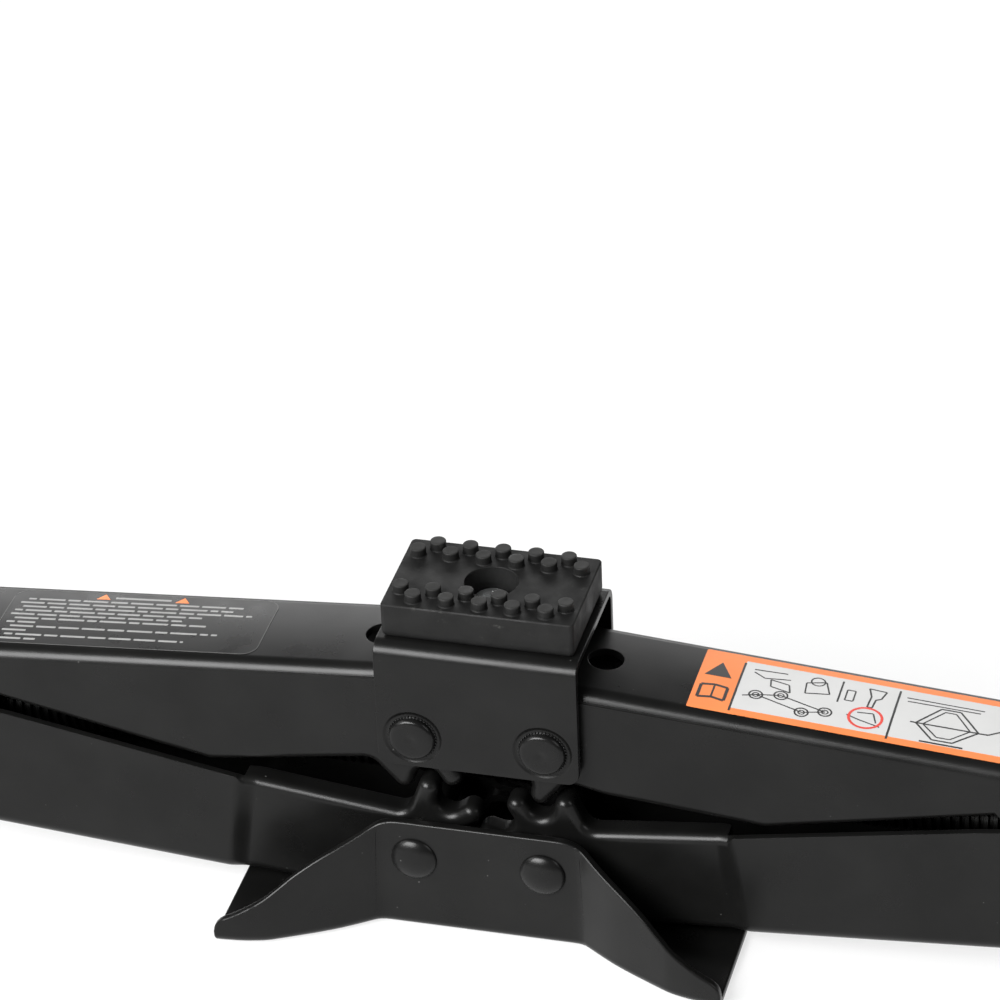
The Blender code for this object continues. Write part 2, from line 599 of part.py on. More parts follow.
def drive_end():
    """Lead screw, thrust bearing, drive eye and end stop."""
    base = TRUNNION_X
    line = (0.0, SCREW_Z)
    on_axis = (0.0, 0.0, SCREW_Z)
    shoulder = base + BLOCK_HALF_LENGTH
    tip = base + 33.0
    profile = [(0.0, tip), (5.0, tip), (SCREW_JOURNAL_RADIUS, tip - 1.0), (SCREW_JOURNAL_RADIUS, shoulder),
               (SCREW_RADIUS, shoulder - 1.0), (SCREW_RADIUS, SCREW_LEFT_END + 2.0),
               (5.4, SCREW_LEFT_END), (0.0, SCREW_LEFT_END)]
    screw = revolve(profile, 20, "X", on_axis)
    cut(screw, cylinder(2.0 + GAP, 30.0, 70.0, "Z", (base + 28.0, 0.0), 10))
    cut(screw, cylinder(2.0 + GAP, 30.0, 70.0, "Z", (SCREW_LEFT_END + 8.0, 0.0), 10))
    finish(screw, "lead_screw", STEEL, (base, 0.0, SCREW_Z))

    first = shoulder + GAP
    bore = SCREW_JOURNAL_RADIUS + GAP
    inner = ring(12.5, bore, first, first + WASHER_THICKNESS, "X", line)
    finish(inner, "thrust_washer_inner", STEEL, on_axis)
    row = first + WASHER_THICKNESS + GAP + BALL_ROW_WIDTH / 2
    ball_circle = 9.4
    holes = [circle_points(2.15, 8, centre) for centre in circle_points(ball_circle, BALL_COUNT)]
    cage = slab(circle_points(12.3, 24), row - 0.7, row + 0.7, "X", [circle_points(bore, 20), *holes])
    cage.data.transform(Matrix.Translation((0.0, 0.0, SCREW_Z * MM)))
    finish(cage, "ball_cage", BRASS, on_axis)
    for index, (y, z) in enumerate(circle_points(ball_circle, BALL_COUNT)):
        bm = bmesh.new()
        bmesh.ops.create_uvsphere(bm, u_segments=8, v_segments=5, radius=1.85 * MM)
        bmesh.ops.translate(bm, vec=Vector((row, y, z + SCREW_Z)) * MM, verts=bm.verts)
        finish(from_bmesh(bm), f"thrust_ball_{index + 1}", ZINC, (row, y, z + SCREW_Z))
    second = row + BALL_ROW_WIDTH / 2 + GAP
    outer = ring(12.5, bore, second, second + WASHER_THICKNESS, "X", line)
    finish(outer, "thrust_washer_outer", STEEL, on_axis)

    hub_start = second + WASHER_THICKNESS + GAP
    profile = [(0.0, base + 39.0), (5.0, base + 39.0), (HUB_RADIUS, base + 36.0), (HUB_RADIUS, hub_start + 0.8),
               (HUB_RADIUS - 0.8, hub_start), (0.0, hub_start)]
    hub = revolve(profile, 20, "X", on_axis)
    curve = bpy.data.curves.new("eye", "CURVE")
    curve.dimensions = "3D"
    curve.fill_mode = "FULL"
    curve.bevel_depth = EYE_WIRE_RADIUS * MM
    curve.bevel_resolution = 2
    spline = curve.splines.new("POLY")
    loop = circle_points(EYE_RING_RADIUS, 20, (base + EYE_CENTRE, SCREW_Z))
    spline.points.add(len(loop) - 1)
    for point, (x, z) in zip(spline.points, loop):
        point.co = (x * MM, 0.0, z * MM, 1.0)
    spline.use_cyclic_u = True
    drawn = bpy.data.objects.new("eye", curve)
    cutter_collection.objects.link(drawn)
    graph = bpy.context.evaluated_depsgraph_get()
    eye = scratch_object(bpy.data.meshes.new_from_object(drawn.evaluated_get(graph)))
    bpy.data.objects.remove(drawn, do_unlink=True)
    fuse(hub, eye)
    cut(hub, cylinder(bore, base - 5.0, base + 33.3, "X", line))
    cut(hub, cylinder(2.0 + GAP, 20.0, 80.0, "Z", (base + 28.0, 0.0), 10))
    finish(hub, "drive_eye", CAST, on_axis)
    half_pin = HUB_RADIUS - 0.5
    drive_pin = cylinder(2.0, SCREW_Z - half_pin, SCREW_Z + half_pin, "Z", (base + 28.0, 0.0), 10)
    finish(drive_pin, "drive_pin", STEEL, on_axis)

    stop = ring(10.0, SCREW_RADIUS + GAP, SCREW_LEFT_END + 4.0, SCREW_LEFT_END + 12.0, "X", line)
    cut(stop, cylinder(2.0 + GAP, 20.0, 80.0, "Z", (SCREW_LEFT_END + 8.0, 0.0), 10))
    finish(stop, "stop_collar", STEEL, on_axis)
    stop_pin = cylinder(2.0, SCREW_Z - 9.5, SCREW_Z + 9.5, "Z", (SCREW_LEFT_END + 8.0, 0.0), 10)
    finish(stop_pin, "stop_pin", STEEL, on_axis)


def label(name, side, near, far, front, back, material):
    """Thin sticker on the top of an upper arm, drawn by its distances along the arm."""
    slope = (31.2 - 22.2) / ARM_LENGTH
    plate = box((near, front, GAP), (far, back, GAP + 0.3), 3.0, "Z", 3)
    shear = Matrix.Identity(4)
    shear[2][0] = slope
    plate.data.transform(Matrix.Translation((0.0, 0.0, 22.2 * MM)) @ shear)
    turn = Matrix.Rotation(side * FOLD_ANGLE, 4, "Y")
    plate.data.transform(turn @ Matrix.Diagonal((side, 1.0, 1.0, 1.0)))
    if side < 0:
        plate.data.flip_normals()
    pivot = Vector((side * PIVOT_X, 0.0, SADDLE_PIVOT_Z))
    plate.data.transform(Matrix.Translation(pivot * MM))
    return finish(plate, name, material, pivot)


foot()
saddle()
for side_name, side in (("left", -1), ("right", 1)):
    rivet_pin("base_pin_" + side_name, side * PIVOT_X, BASE_PIVOT_Z, FOOT_HALF_WIDTH, 3.0)
    rivet_pin("saddle_pin_" + side_name, side * PIVOT_X, SADDLE_PIVOT_Z, SADDLE_HALF_WIDTH, 2.0)
    arm("lower_arm_" + side_name, side, -1)
    arm("upper_arm_" + side_name, side, 1)
spacers("base_spacer", BASE_PIVOT_Z, LOWER_HALF_WIDTH - LOWER_JOG, FOOT_HALF_WIDTH - FOOT_SHEET)
spacers("saddle_spacer", SADDLE_PIVOT_Z, UPPER_HALF_WIDTH, SADDLE_HALF_WIDTH - SADDLE_SHEET)
rubber_pad()
pad_fastener()
trunnion("nut_trunnion", -1, SCREW_RADIUS + GAP, CAST)
trunnion("bearing_trunnion", 1, SCREW_RADIUS + GAP, CAST)
trunnion_washers("nut_trunnion_washer", -1)
trunnion_washers("bearing_trunnion_washer", 1)
drive_end()
label("label_left", -1, 51.0, 140.0, -13.0, 14.8, LABEL_DARK)
label("label_right", 1, 41.5, 143.0, -13.4, 14.8, LABEL_ORANGE)
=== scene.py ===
"""Looks of the scissor jack: folded and painted sheet-metal arms with formed teeth, a
flared foot, a saddle with a studded rubber pad, and a threaded lead screw.

Helper shapes are drawn in millimetres and stored in metres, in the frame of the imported
model: X along the screw, Z up, ground at Z = 0.
"""

import json
import math

import bmesh
import bpy
from mathutils import Matrix, Vector


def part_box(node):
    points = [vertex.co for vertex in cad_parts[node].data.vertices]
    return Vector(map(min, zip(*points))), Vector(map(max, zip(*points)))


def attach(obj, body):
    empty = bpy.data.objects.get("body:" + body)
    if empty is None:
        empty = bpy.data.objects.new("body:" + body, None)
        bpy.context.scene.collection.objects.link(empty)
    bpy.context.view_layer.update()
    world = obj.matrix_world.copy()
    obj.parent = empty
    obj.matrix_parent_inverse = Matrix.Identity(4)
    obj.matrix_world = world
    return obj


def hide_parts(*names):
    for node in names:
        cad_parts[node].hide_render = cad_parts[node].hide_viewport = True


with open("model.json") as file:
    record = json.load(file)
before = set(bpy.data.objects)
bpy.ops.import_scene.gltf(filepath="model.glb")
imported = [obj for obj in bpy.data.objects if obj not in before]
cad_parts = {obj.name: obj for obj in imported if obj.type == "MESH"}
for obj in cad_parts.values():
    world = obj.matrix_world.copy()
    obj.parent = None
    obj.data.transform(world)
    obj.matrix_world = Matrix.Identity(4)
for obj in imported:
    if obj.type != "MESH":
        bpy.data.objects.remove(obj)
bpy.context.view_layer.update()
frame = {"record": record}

MM = 0.001
JOINTS = {joint["name"]: joint for joint in frame["record"]["behaviour"]["joints"]}
PIVOT_X, _, BASE_Z = [value / MM for value in JOINTS["lift"]["pos_m"]]
SADDLE_Z = JOINTS["saddle_pivot"]["pos_m"][2] / MM
TRUNNION_X = JOINTS["screw_turn"]["pos_m"][0] / MM
SCREW_Z = JOINTS["screw_turn"]["pos_m"][2] / MM
AXIS = (0.0, 0.0, SCREW_Z)
ARM_LENGTH = math.hypot(TRUNNION_X - PIVOT_X, SCREW_Z - BASE_Z)
FOLD_ANGLE = math.asin((SCREW_Z - BASE_Z) / ARM_LENGTH)

SIDES = ((-1, "left"), (1, "right"))
FACES = ((-1, "front"), (1, "back"))
PLAY = 0.3

ARM_SHEET = 2.5
ARM_BEND = 5.0
LOWER_HALF_WIDTH = 23.1
UPPER_HALF_WIDTH = 20.2
LOWER_JOG = 1.6
JOG_START = 55.5
JOG_END = 63.0
FLANGE_DEPTH = 8.0
FLANGE_BEND = 3.2
WEB_CROWN = 0.35
WEB_HOLE_RADIUS = 5.6
WEB_HOLE_PLACE = 12.2
BAR_START = -60.0
BAR_END = 240.0

TIP_CENTRE = 20.8
TIP_RADIUS = 3.4
ROOT_CENTRE = 19.6
ROOT_RADIUS = 4.1
HALF_PITCH = 22.5
EAR_RADIUS = 20.0
TEETH_A = (90.0, 45.0, 0.0)
TEETH_B = (112.5, 67.5, 22.5)

PIN_HOLE = 5.3
RIVET_RADIUS = 7.5
KNURL_COUNT = 44
SPACER_RADIUS = 8.5
JOURNAL_HOLE = 7.3
SCREW_HOLE = 7.3

SADDLE_TOP = 104.6
SADDLE_SHEET = 2.5
SADDLE_HALF_WIDTH = 24.5
FOOT_SHEET = 3.0
FOOT_HALF_WIDTH = 29.5

PAD_TOP = 116.7
PAD_HALF_LENGTH = 31.0
PAD_HALF_WIDTH = 19.5
PAD_CORNER = 1.5
PAD_SCREW_HOLE = 4.3
STUD_PITCH = 10.6
STUD_ROWS = ((15.2, 5), (10.5, 6))

THREAD_PITCH = 3.0
THREAD_RADIUS = 6.98
THREAD_ROOT = 5.5
THREAD_STEPS = 28
BALL_COUNT = 8
BALL_RADIUS = 1.85
BALL_CIRCLE = 9.4


# Materials -------------------------------------------------------------------------


class Surface:
    """A Principled material with helpers for its procedural detail."""

    def __init__(self, name, colour, roughness, metallic=0.0):
        self.material = bpy.data.materials.new(name)
        self.material.use_nodes = True
        self.tree = self.material.node_tree
        self.shader = self.tree.nodes["Principled BSDF"]
        self.shader.inputs["Metallic"].default_value = metallic
        self.shader.inputs["Roughness"].default_value = roughness
        self.shader.inputs["Base Color"].default_value = (*colour, 1.0)
        self.place = self.tree.nodes.new("ShaderNodeTexCoord").outputs["Object"]
        self.colour = None
        self.height = None

    def noise(self, scale, detail=3.0, stretch=None, rough=0.55):
        """Noise value whose features are about 1/scale metres across."""
        node = self.tree.nodes.new("ShaderNodeTexNoise")
        node.inputs["Scale"].default_value = scale
        node.inputs["Detail"].default_value = detail
        node.inputs["Roughness"].default_value = rough
        place = self.place
        if stretch:
            mapping = self.tree.nodes.new("ShaderNodeMapping")
            mapping.inputs["Scale"].default_value = stretch
            self.tree.links.new(place, mapping.inputs["Vector"])
            place = mapping.outputs["Vector"]
        self.tree.links.new(place, node.inputs["Vector"])
        return node.outputs["Fac"]

    def specks(self, scale, size):
        """Mask of small scattered dots."""
        node = self.tree.nodes.new("ShaderNodeTexVoronoi")
        node.inputs["Scale"].default_value = scale
        self.tree.links.new(self.place, node.inputs["Vector"])
        return self.span(node.outputs["Distance"], size, size * 0.6, 0.0, 1.0)

    def span(self, value, low, high, to_low, to_high):
        """Map a value from one range to another, held at the ends."""
        node = self.tree.nodes.new("ShaderNodeMapRange")
        node.clamp = True
        node.inputs["From Min"].default_value = low
        node.inputs["From Max"].default_value = high
        node.inputs["To Min"].default_value = to_low
        node.inputs["To Max"].default_value = to_high
        self.tree.links.new(value, node.inputs["Value"])
        return node.outputs["Result"]

    def product(self, first, second):
        node = self.tree.nodes.new("ShaderNodeMath")
        node.operation = "MULTIPLY"
        self.tree.links.new(first, node.inputs[0])
        self.tree.links.new(second, node.inputs[1])
        return node.outputs["Value"]

    def tint(self, mask, colour, base=None):
        """Lay a colour over the surface where the mask is 1."""
        node = self.tree.nodes.new("ShaderNodeMix")
        node.data_type = "RGBA"
        self.tree.links.new(mask, node.inputs["Factor"])
        if self.colour is None:
            node.inputs["A"].default_value = (*base, 1.0)
        else:
            self.tree.links.new(self.colour, node.inputs["A"])
        node.inputs["B"].default_value = (*colour, 1.0)
        self.colour = node.outputs["Result"]
        self.tree.links.new(self.colour, self.shader.inputs["Base Color"])

    def roughness(self, value, low, high):
        """Let the roughness wander between two values."""
        self.tree.links.new(self.span(value, 0.3, 0.7, low, high), self.shader.inputs["Roughness"])

    def bump(self, value, strength, distance):
        """Add surface relief; distance is its height in metres."""
        node = self.tree.nodes.new("ShaderNodeBump")
        node.inputs["Strength"].default_value = strength
        node.inputs["Distance"].default_value = distance
        self.tree.links.new(value, node.inputs["Height"])
        if self.height is not None:
            self.tree.links.new(self.height, node.inputs["Normal"])
        self.height = node.outputs["Normal"]
        self.tree.links.new(self.height, self.shader.inputs["Normal"])


def paint(name, dark, light, rough_low, rough_high):
    """Satin black paint with a faint orange peel and a few dust nibs."""
    surface = Surface(name, dark, rough_low)
    surface.tint(surface.span(surface.noise(38.0, 4.0), 0.35, 0.68, 0.0, 1.0), light, dark)
    patches = surface.span(surface.noise(60.0), 0.56, 0.6, 0.0, 1.0)
    surface.tint(surface.product(surface.specks(210.0, 0.055), patches), (0.09, 0.09, 0.087))
    surface.roughness(surface.noise(55.0, 4.0), rough_low, rough_high)
    surface.bump(surface.noise(420.0, 2.0), 0.10, 0.00006)
    surface.bump(surface.noise(1500.0, 2.0), 0.08, 0.00003)
    surface.shader.inputs["Specular IOR Level"].default_value = 0.21
    return surface.material


def rubber(name):
    """Moulded rubber: matt, mottled, with chalky scuffs and a painted highlight on the stud tops."""
    surface = Surface(name, (0.0065, 0.0065, 0.0063), 0.8)
    surface.shader.inputs["Specular IOR Level"].default_value = 0.22
    surface.tint(surface.span(surface.noise(110.0, 5.0), 0.35, 0.7, 0.0, 1.0), (0.0080, 0.0080, 0.0078),
                 (0.0045, 0.0045, 0.0044))
    scuff = surface.product(surface.span(surface.noise(320.0, 5.0, rough=0.7), 0.60, 0.72, 0.0, 0.8),
                            surface.span(surface.noise(45.0), 0.45, 0.65, 0.0, 1.0))
    surface.tint(scuff, (0.045, 0.045, 0.042))
    # Painted highlight: the top 0.6 mm of every stud is painted lighter, standing in for light falling on the
    # stud tops.
    height = surface.tree.nodes.new("ShaderNodeSeparateXYZ")
    surface.tree.links.new(surface.place, height.inputs["Vector"])
    lit_stud_tops = surface.span(height.outputs["Z"], (PAD_TOP + 2.3) * MM, (PAD_TOP + 2.9) * MM, 0.0, 1.0)
    surface.tint(lit_stud_tops, (0.016, 0.016, 0.0155))
    surface.roughness(surface.noise(140.0, 4.0), 0.50, 0.74)
    surface.bump(surface.noise(900.0, 4.0), 0.22, 0.00010)
    surface.bump(surface.noise(90.0, 3.0), 0.12, 0.0003)
    return surface.material


def bare_metal(name, dark, light, rough_low, rough_high, grain=None):
    """Machined or plated metal with grain and faint stains."""
    surface = Surface(name, dark, rough_low, 1.0)
    surface.tint(surface.span(surface.noise(90.0, 5.0), 0.35, 0.7, 0.0, 1.0), light, dark)
    surface.roughness(surface.noise(160.0, 4.0), rough_low, rough_high)
    surface.bump(surface.noise(700.0, 2.0, grain), 0.12, 0.00005)
    return surface.material


def film(name, colour, roughness, spread=0.9):
    """Printed sticker film, slightly uneven where it was pressed on."""
    surface = Surface(name, colour, roughness)
    faded = tuple(channel * spread for channel in colour)
    surface.tint(surface.span(surface.noise(70.0, 4.0), 0.35, 0.7, 0.0, 1.0), faded, colour)
    surface.roughness(surface.noise(90.0), roughness, roughness + 0.12)
    surface.bump(surface.noise(120.0, 2.0), 0.12, 0.0001)
    surface.bump(surface.noise(900.0, 2.0), 0.06, 0.00003)
    surface.shader.inputs["Specular IOR Level"].default_value = 0.25
    return surface.material


PAINT = paint("satin_black_paint", (0.0035, 0.0035, 0.0034), (0.0060, 0.0060, 0.0058), 0.26, 0.34)
RIVET_PAINT = paint("rivet_black_paint", (0.0035, 0.0035, 0.0035), (0.0060, 0.0060, 0.0058), 0.24, 0.32)
RUBBER = rubber("moulded_rubber")
ZINC = bare_metal("zinc_plate", (0.62, 0.64, 0.64), (0.84, 0.85, 0.84), 0.34, 0.52)
STEEL = bare_metal("machined_steel", (0.30, 0.29, 0.28), (0.46, 0.45, 0.44), 0.26, 0.42, (1.0, 6.0, 6.0))
# Painted shade: the thread steel is coloured near black to stand in for the shade it sits in between the
# arms.
THREAD = bare_metal("thread_steel_in_painted_shade", (0.005, 0.005, 0.005), (0.014, 0.014, 0.0135), 0.40, 0.60)
FORGED = bare_metal("dark_forged_steel", (0.07, 0.07, 0.07), (0.13, 0.13, 0.125), 0.38, 0.55)
BRASS = bare_metal("stamped_brass", (0.52, 0.38, 0.17), (0.66, 0.50, 0.26), 0.26, 0.40)
LABEL_DARK = film("dark_film", (0.0060, 0.0060, 0.0058), 0.24)
LABEL_EDGE = film("film_edge", (0.085, 0.085, 0.083), 0.35)
LABEL_ORANGE = film("orange_print", (0.72, 0.205, 0.060), 0.36)
LABEL_WHITE = film("white_print", (0.51, 0.51, 0.505), 0.36, 0.95)
LABEL_INK = film("black_print", (0.030, 0.030, 0.030), 0.30)
LABEL_GREY = film("grey_print", (0.26, 0.26, 0.255), 0.35)
LABEL_RED = film("red_print", (0.62, 0.06, 0.045), 0.30)


# Shapes ----------------------------------------------------------------------------


def new_object(mesh, name="shape"):
    obj = bpy.data.objects.new(name, mesh)
    bpy.context.scene.collection.objects.link(obj)
    return obj


def from_bmesh(bm, turn_out=True):
    if turn_out:
        bmesh.ops.recalc_face_normals(bm, faces=bm.faces)
    mesh = bpy.data.meshes.new("shape")
    bm.to_mesh(mesh)
    bm.free()
    return new_object(mesh)


def applied(obj):
    """Bake an object's modifiers into its mesh."""
    graph = bpy.context.evaluated_depsgraph_get()
    mesh = bpy.data.meshes.new_from_object(obj.evaluated_get(graph))
    obj.modifiers.clear()
    obj.data = mesh
    return obj


def combine(target, other, operation):
    modifier = target.modifiers.new("combine", "BOOLEAN")
    modifier.operation = operation
    modifier.solver = "EXACT"
    modifier.object = other
    applied(target)
    bpy.data.objects.remove(other, do_unlink=True)
    return target


def cut(target, *tools):
    for tool in tools:
        combine(target, tool, "DIFFERENCE")
    return target


def gather(objects):
    """Join several shapes into one mesh."""
    bm = bmesh.new()
    for obj in objects:
        bm.from_mesh(obj.data)
        bpy.data.objects.remove(obj, do_unlink=True)
    return from_bmesh(bm, False)


def loft(rings):
    """Closed solid through loops of points (mm) that have equal counts."""
    bm = bmesh.new()
    rows = [[bm.verts.new(Vector(point) * MM) for point in ring] for ring in rings]
    for below, above in zip(rows, rows[1:]):
        for a in range(len(below)):
            b = (a + 1) % len(below)
            bm.faces.new((below[a], below[b], above[b], above[a]))
    bm.faces.new(rows[0])
    bm.faces.new(rows[-1])
    return from_bmesh(bm)


def along(axis, height, a, b):
    """Point at a height along one axis, with its coordinates on the other two."""
    return {"X": (height, a, b), "Y": (a, height, b), "Z": (a, b, height)}[axis]


def slab(outline, low, high, axis="Z"):
    """Flat slab of a closed outline, from low to high along an axis."""
    return loft([[along(axis, level, a, b) for a, b in outline] for level in (low, high)])


def box(low, high):
    corners = [(low[0], low[1]), (high[0], low[1]), (high[0], high[1]), (low[0], high[1])]
    return slab(corners, low[2], high[2])


def lathe(profile, steps, axis="Z", centre=(0.0, 0.0, 0.0), closed=False):
    """Turned shape from (radius, height) points; a closed profile makes a ring."""
    bm = bmesh.new()
    rows = []
    for index in range(steps):
        angle = 2 * math.pi * index / steps
        row = []
        for radius, height in profile:
            point = along(axis, height, radius * math.cos(angle), radius * math.sin(angle))
            row.append(bm.verts.new((Vector(point) + Vector(centre)) * MM))
        rows.append(row)
    count = len(profile)
    for index in range(steps):
        here, there = rows[index], rows[(index + 1) % steps]
        for k in range(count if closed else count - 1):
            bm.faces.new((here[k], here[(k + 1) % count], there[(k + 1) % count], there[k]))
    bmesh.ops.remove_doubles(bm, verts=bm.verts, dist=1e-7)
    bmesh.ops.dissolve_degenerate(bm, edges=bm.edges, dist=1e-8)
    return from_bmesh(bm)


def ring(outer, inner, low, high, axis, centre, chamfer=0.25, steps=64):
    """Washer with small rounded edges."""
    c = chamfer
    profile = [(inner + c, high), (outer - c, high), (outer - 0.3 * c, high - 0.3 * c), (outer, high - c),
               (outer, low + c), (outer - 0.3 * c, low + 0.3 * c), (outer - c, low), (inner + c, low),
               (inner, low + c), (inner, high - c)]
    return lathe(profile, steps, axis, centre, True)


def rod(radius, low, high, axis, centre, chamfer=0.4, steps=48):
    """Round bar with chamfered ends."""
    profile = [(0.0, high), (radius - chamfer, high), (radius, high - chamfer), (radius, low + chamfer),
               (radius - chamfer, low), (0.0, low)]
    return lathe(profile, steps, axis, centre)


def soften(obj, width=0.35, segments=2, flatness=0.3):
    """Merge faces that are flat to within an angle in degrees, then round every sharp edge."""
    bm = bmesh.new()
    bm.from_mesh(obj.data)
    bmesh.ops.remove_doubles(bm, verts=bm.verts, dist=0.012 * MM)
    bmesh.ops.dissolve_limit(bm, angle_limit=math.radians(flatness), verts=bm.verts, edges=bm.edges)
    bm.to_mesh(obj.data)
    bm.free()
    if width:
        bevel = obj.modifiers.new("edges", "BEVEL")
        bevel.width = width * MM
        bevel.segments = segments
        bevel.limit_method = "ANGLE"
        bevel.angle_limit = math.radians(38.0)
        bevel.use_clamp_overlap = False
        bevel.miter_outer = "MITER_ARC"
        applied(obj)
    return obj


def shade(obj, name, material, body, replaces=(), sharp=32.0):
    """Name a finished piece, shade it and fix it to its body."""
    mesh = obj.data
    mesh.materials.clear()
    mesh.materials.append(material)
    for polygon in mesh.polygons:
        polygon.material_index = 0
    mesh.shade_smooth()
    mesh.set_sharp_from_angle(angle=math.radians(sharp))
    mesh.name = name
    obj.name = name
    weighted = obj.modifiers.new("even_normals", "WEIGHTED_NORMAL")
    weighted.keep_sharp = True
    weighted.weight = 80
    applied(obj)
    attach(obj, body)
    if replaces:
        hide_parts(*replaces)
    return obj


def smooth_line(points, per=8):
    """Points of a smooth curve through the given ones (Catmull-Rom)."""
    padded = [points[0]] + list(points) + [points[-1]]
    line = []
    for a, b, c, d in zip(padded, padded[1:], padded[2:], padded[3:]):
        for k in range(per):
            t = k / per
            line.append(tuple(0.5 * (2 * q + (r - p) * t + (2 * p - 5 * q + 4 * r - s) * t * t
                                     + (3 * q - p - 3 * r + s) * t ** 3) for p, q, r, s in zip(a, b, c, d)))
    line.append(tuple(points[-1]))
    return line


def tangent(first, second):
    """Common tangent of two turning circles, each (centre, radius, side)."""
    (x1, y1), r1, s1 = first
    (x2, y2), r2, s2 = second
    dx = x2 - x1
    dy = y2 - y1
    offset = s2 * r2 - s1 * r1
    run = math.sqrt(dx * dx + dy * dy - offset * offset)
    heading = math.atan2(dy, dx) - math.atan2(offset, run)
    left = (-math.sin(heading), math.cos(heading))
    return (heading, (x1 - s1 * r1 * left[0], y1 - s1 * r1 * left[1]),
            (x2 - s2 * r2 * left[0], y2 - s2 * r2 * left[1]))


def rounded_path(circles, step=9.0):
    """Points of a path of tangent lines and arcs; side +1 turns left, -1 turns right."""
    runs = [tangent(a, b) for a, b in zip(circles, circles[1:])]
    points = [runs[0][1]]
    for index in range(1, len(circles) - 1):
        (cx, cy), radius, side = circles[index]
        arriving = runs[index - 1][0]
        turn = side * ((side * (runs[index][0] - arriving) + 1e-9) % (2 * math.pi))
        count = max(1, math.ceil(abs(math.degrees(turn)) / step))
        for k in range(count + 1):
            heading = arriving + turn * k / count
            points.append((cx + side * radius * math.sin(heading), cy - side * radius * math.cos(heading)))
    points.append(runs[-1][2])
    return points


# Arms ------------------------------------------------------------------------------


def polar(phase, radius):
    angle = math.radians(phase)
    return (-radius * math.cos(angle), -radius * math.sin(angle))


def toothed_edge(phases, upper, inset=0.0):
    """Edge of an arm's wall from its plain part in round the teeth, moved in by inset."""
    first = phases[0]
    if upper:
        circles = [((142.0, 11.7), inset, 1), ((71.0, -6.9), 6.0 - inset, -1)]
        if first == 90.0:
            circles += [((20.5, -10.9), 4.0 - inset, -1), ((10.2, -18.2), 4.3 + inset, 1)]
        else:
            circles.append(((19.6, -16.2), 4.5 + inset, 1))
    else:
        circles = [((60.0, -9.8), inset, 1)]
        circles.append(((9.5 if first == 90.0 else 17.5, -15.1), 4.7 + inset, 1))
    for index, phase in enumerate(phases):
        if index:
            circles.append((polar(phase + HALF_PITCH, ROOT_CENTRE), ROOT_RADIUS + inset, 1))
        circles.append((polar(phase, TIP_CENTRE), TIP_RADIUS - inset, -1))
    last = phases[-1]
    circles.append((polar(last - HALF_PITCH, ROOT_CENTRE), ROOT_RADIUS + inset, 1))
    circles.append((polar(last - 52.0, 16.0), 4.0 - inset, -1))
    circles.append((polar(last - 53.0, 16.0), 4.0 - inset, -1))
    return rounded_path(circles)


def arm_facts(upper):
    """Half width, web height at the pivot and its rise per millimetre, where the web starts, ear radius."""
    if upper:
        return UPPER_HALF_WIDTH, 22.2, 9.0 / 165.0, 2.0, 14.0
    return LOWER_HALF_WIDTH, 24.6, 8.9 / 165.0, 8.0, 14.5


def arm_matrix(side, level):
    """From an arm's own frame (along, across, towards its web) to the model's."""
    turn = Matrix.Rotation(side * level * FOLD_ANGLE, 4, "Y")
    place = Vector((side * PIVOT_X, 0.0, SADDLE_Z if level > 0 else BASE_Z)) * MM
    return Matrix.Translation(place) @ turn @ Matrix.Diagonal((side, 1.0, level, 1.0))


def settle(obj, matrix):
    """Move a mesh into the model's frame, keeping its faces outward."""
    obj.data.transform(matrix)
    if matrix.determinant() < 0:
        obj.data.flip_normals()
    return obj


def channel_bar(half_width, web, slope, bend):
    """Long inverted channel core with rounded shoulders and a slightly crowned web."""
    section = [(half_width, -60.0)]
    for k in range(13):
        angle = math.radians(7.5 * k)
        section.append((half_width - bend + bend * math.cos(angle), web - bend + bend * math.sin(angle)))
    flat = half_width - bend
    crown = [(flat * (1.0 - k / 6.0), web + WEB_CROWN * (1.0 - (1.0 - k / 6.0) ** 2)) for k in range(1, 12)]
    section += crown + [(-y, z) for y, z in reversed(section)]
    return loft([[(x, y, z + slope * x) for y, z in section] for x in (BAR_START, BAR_END)])


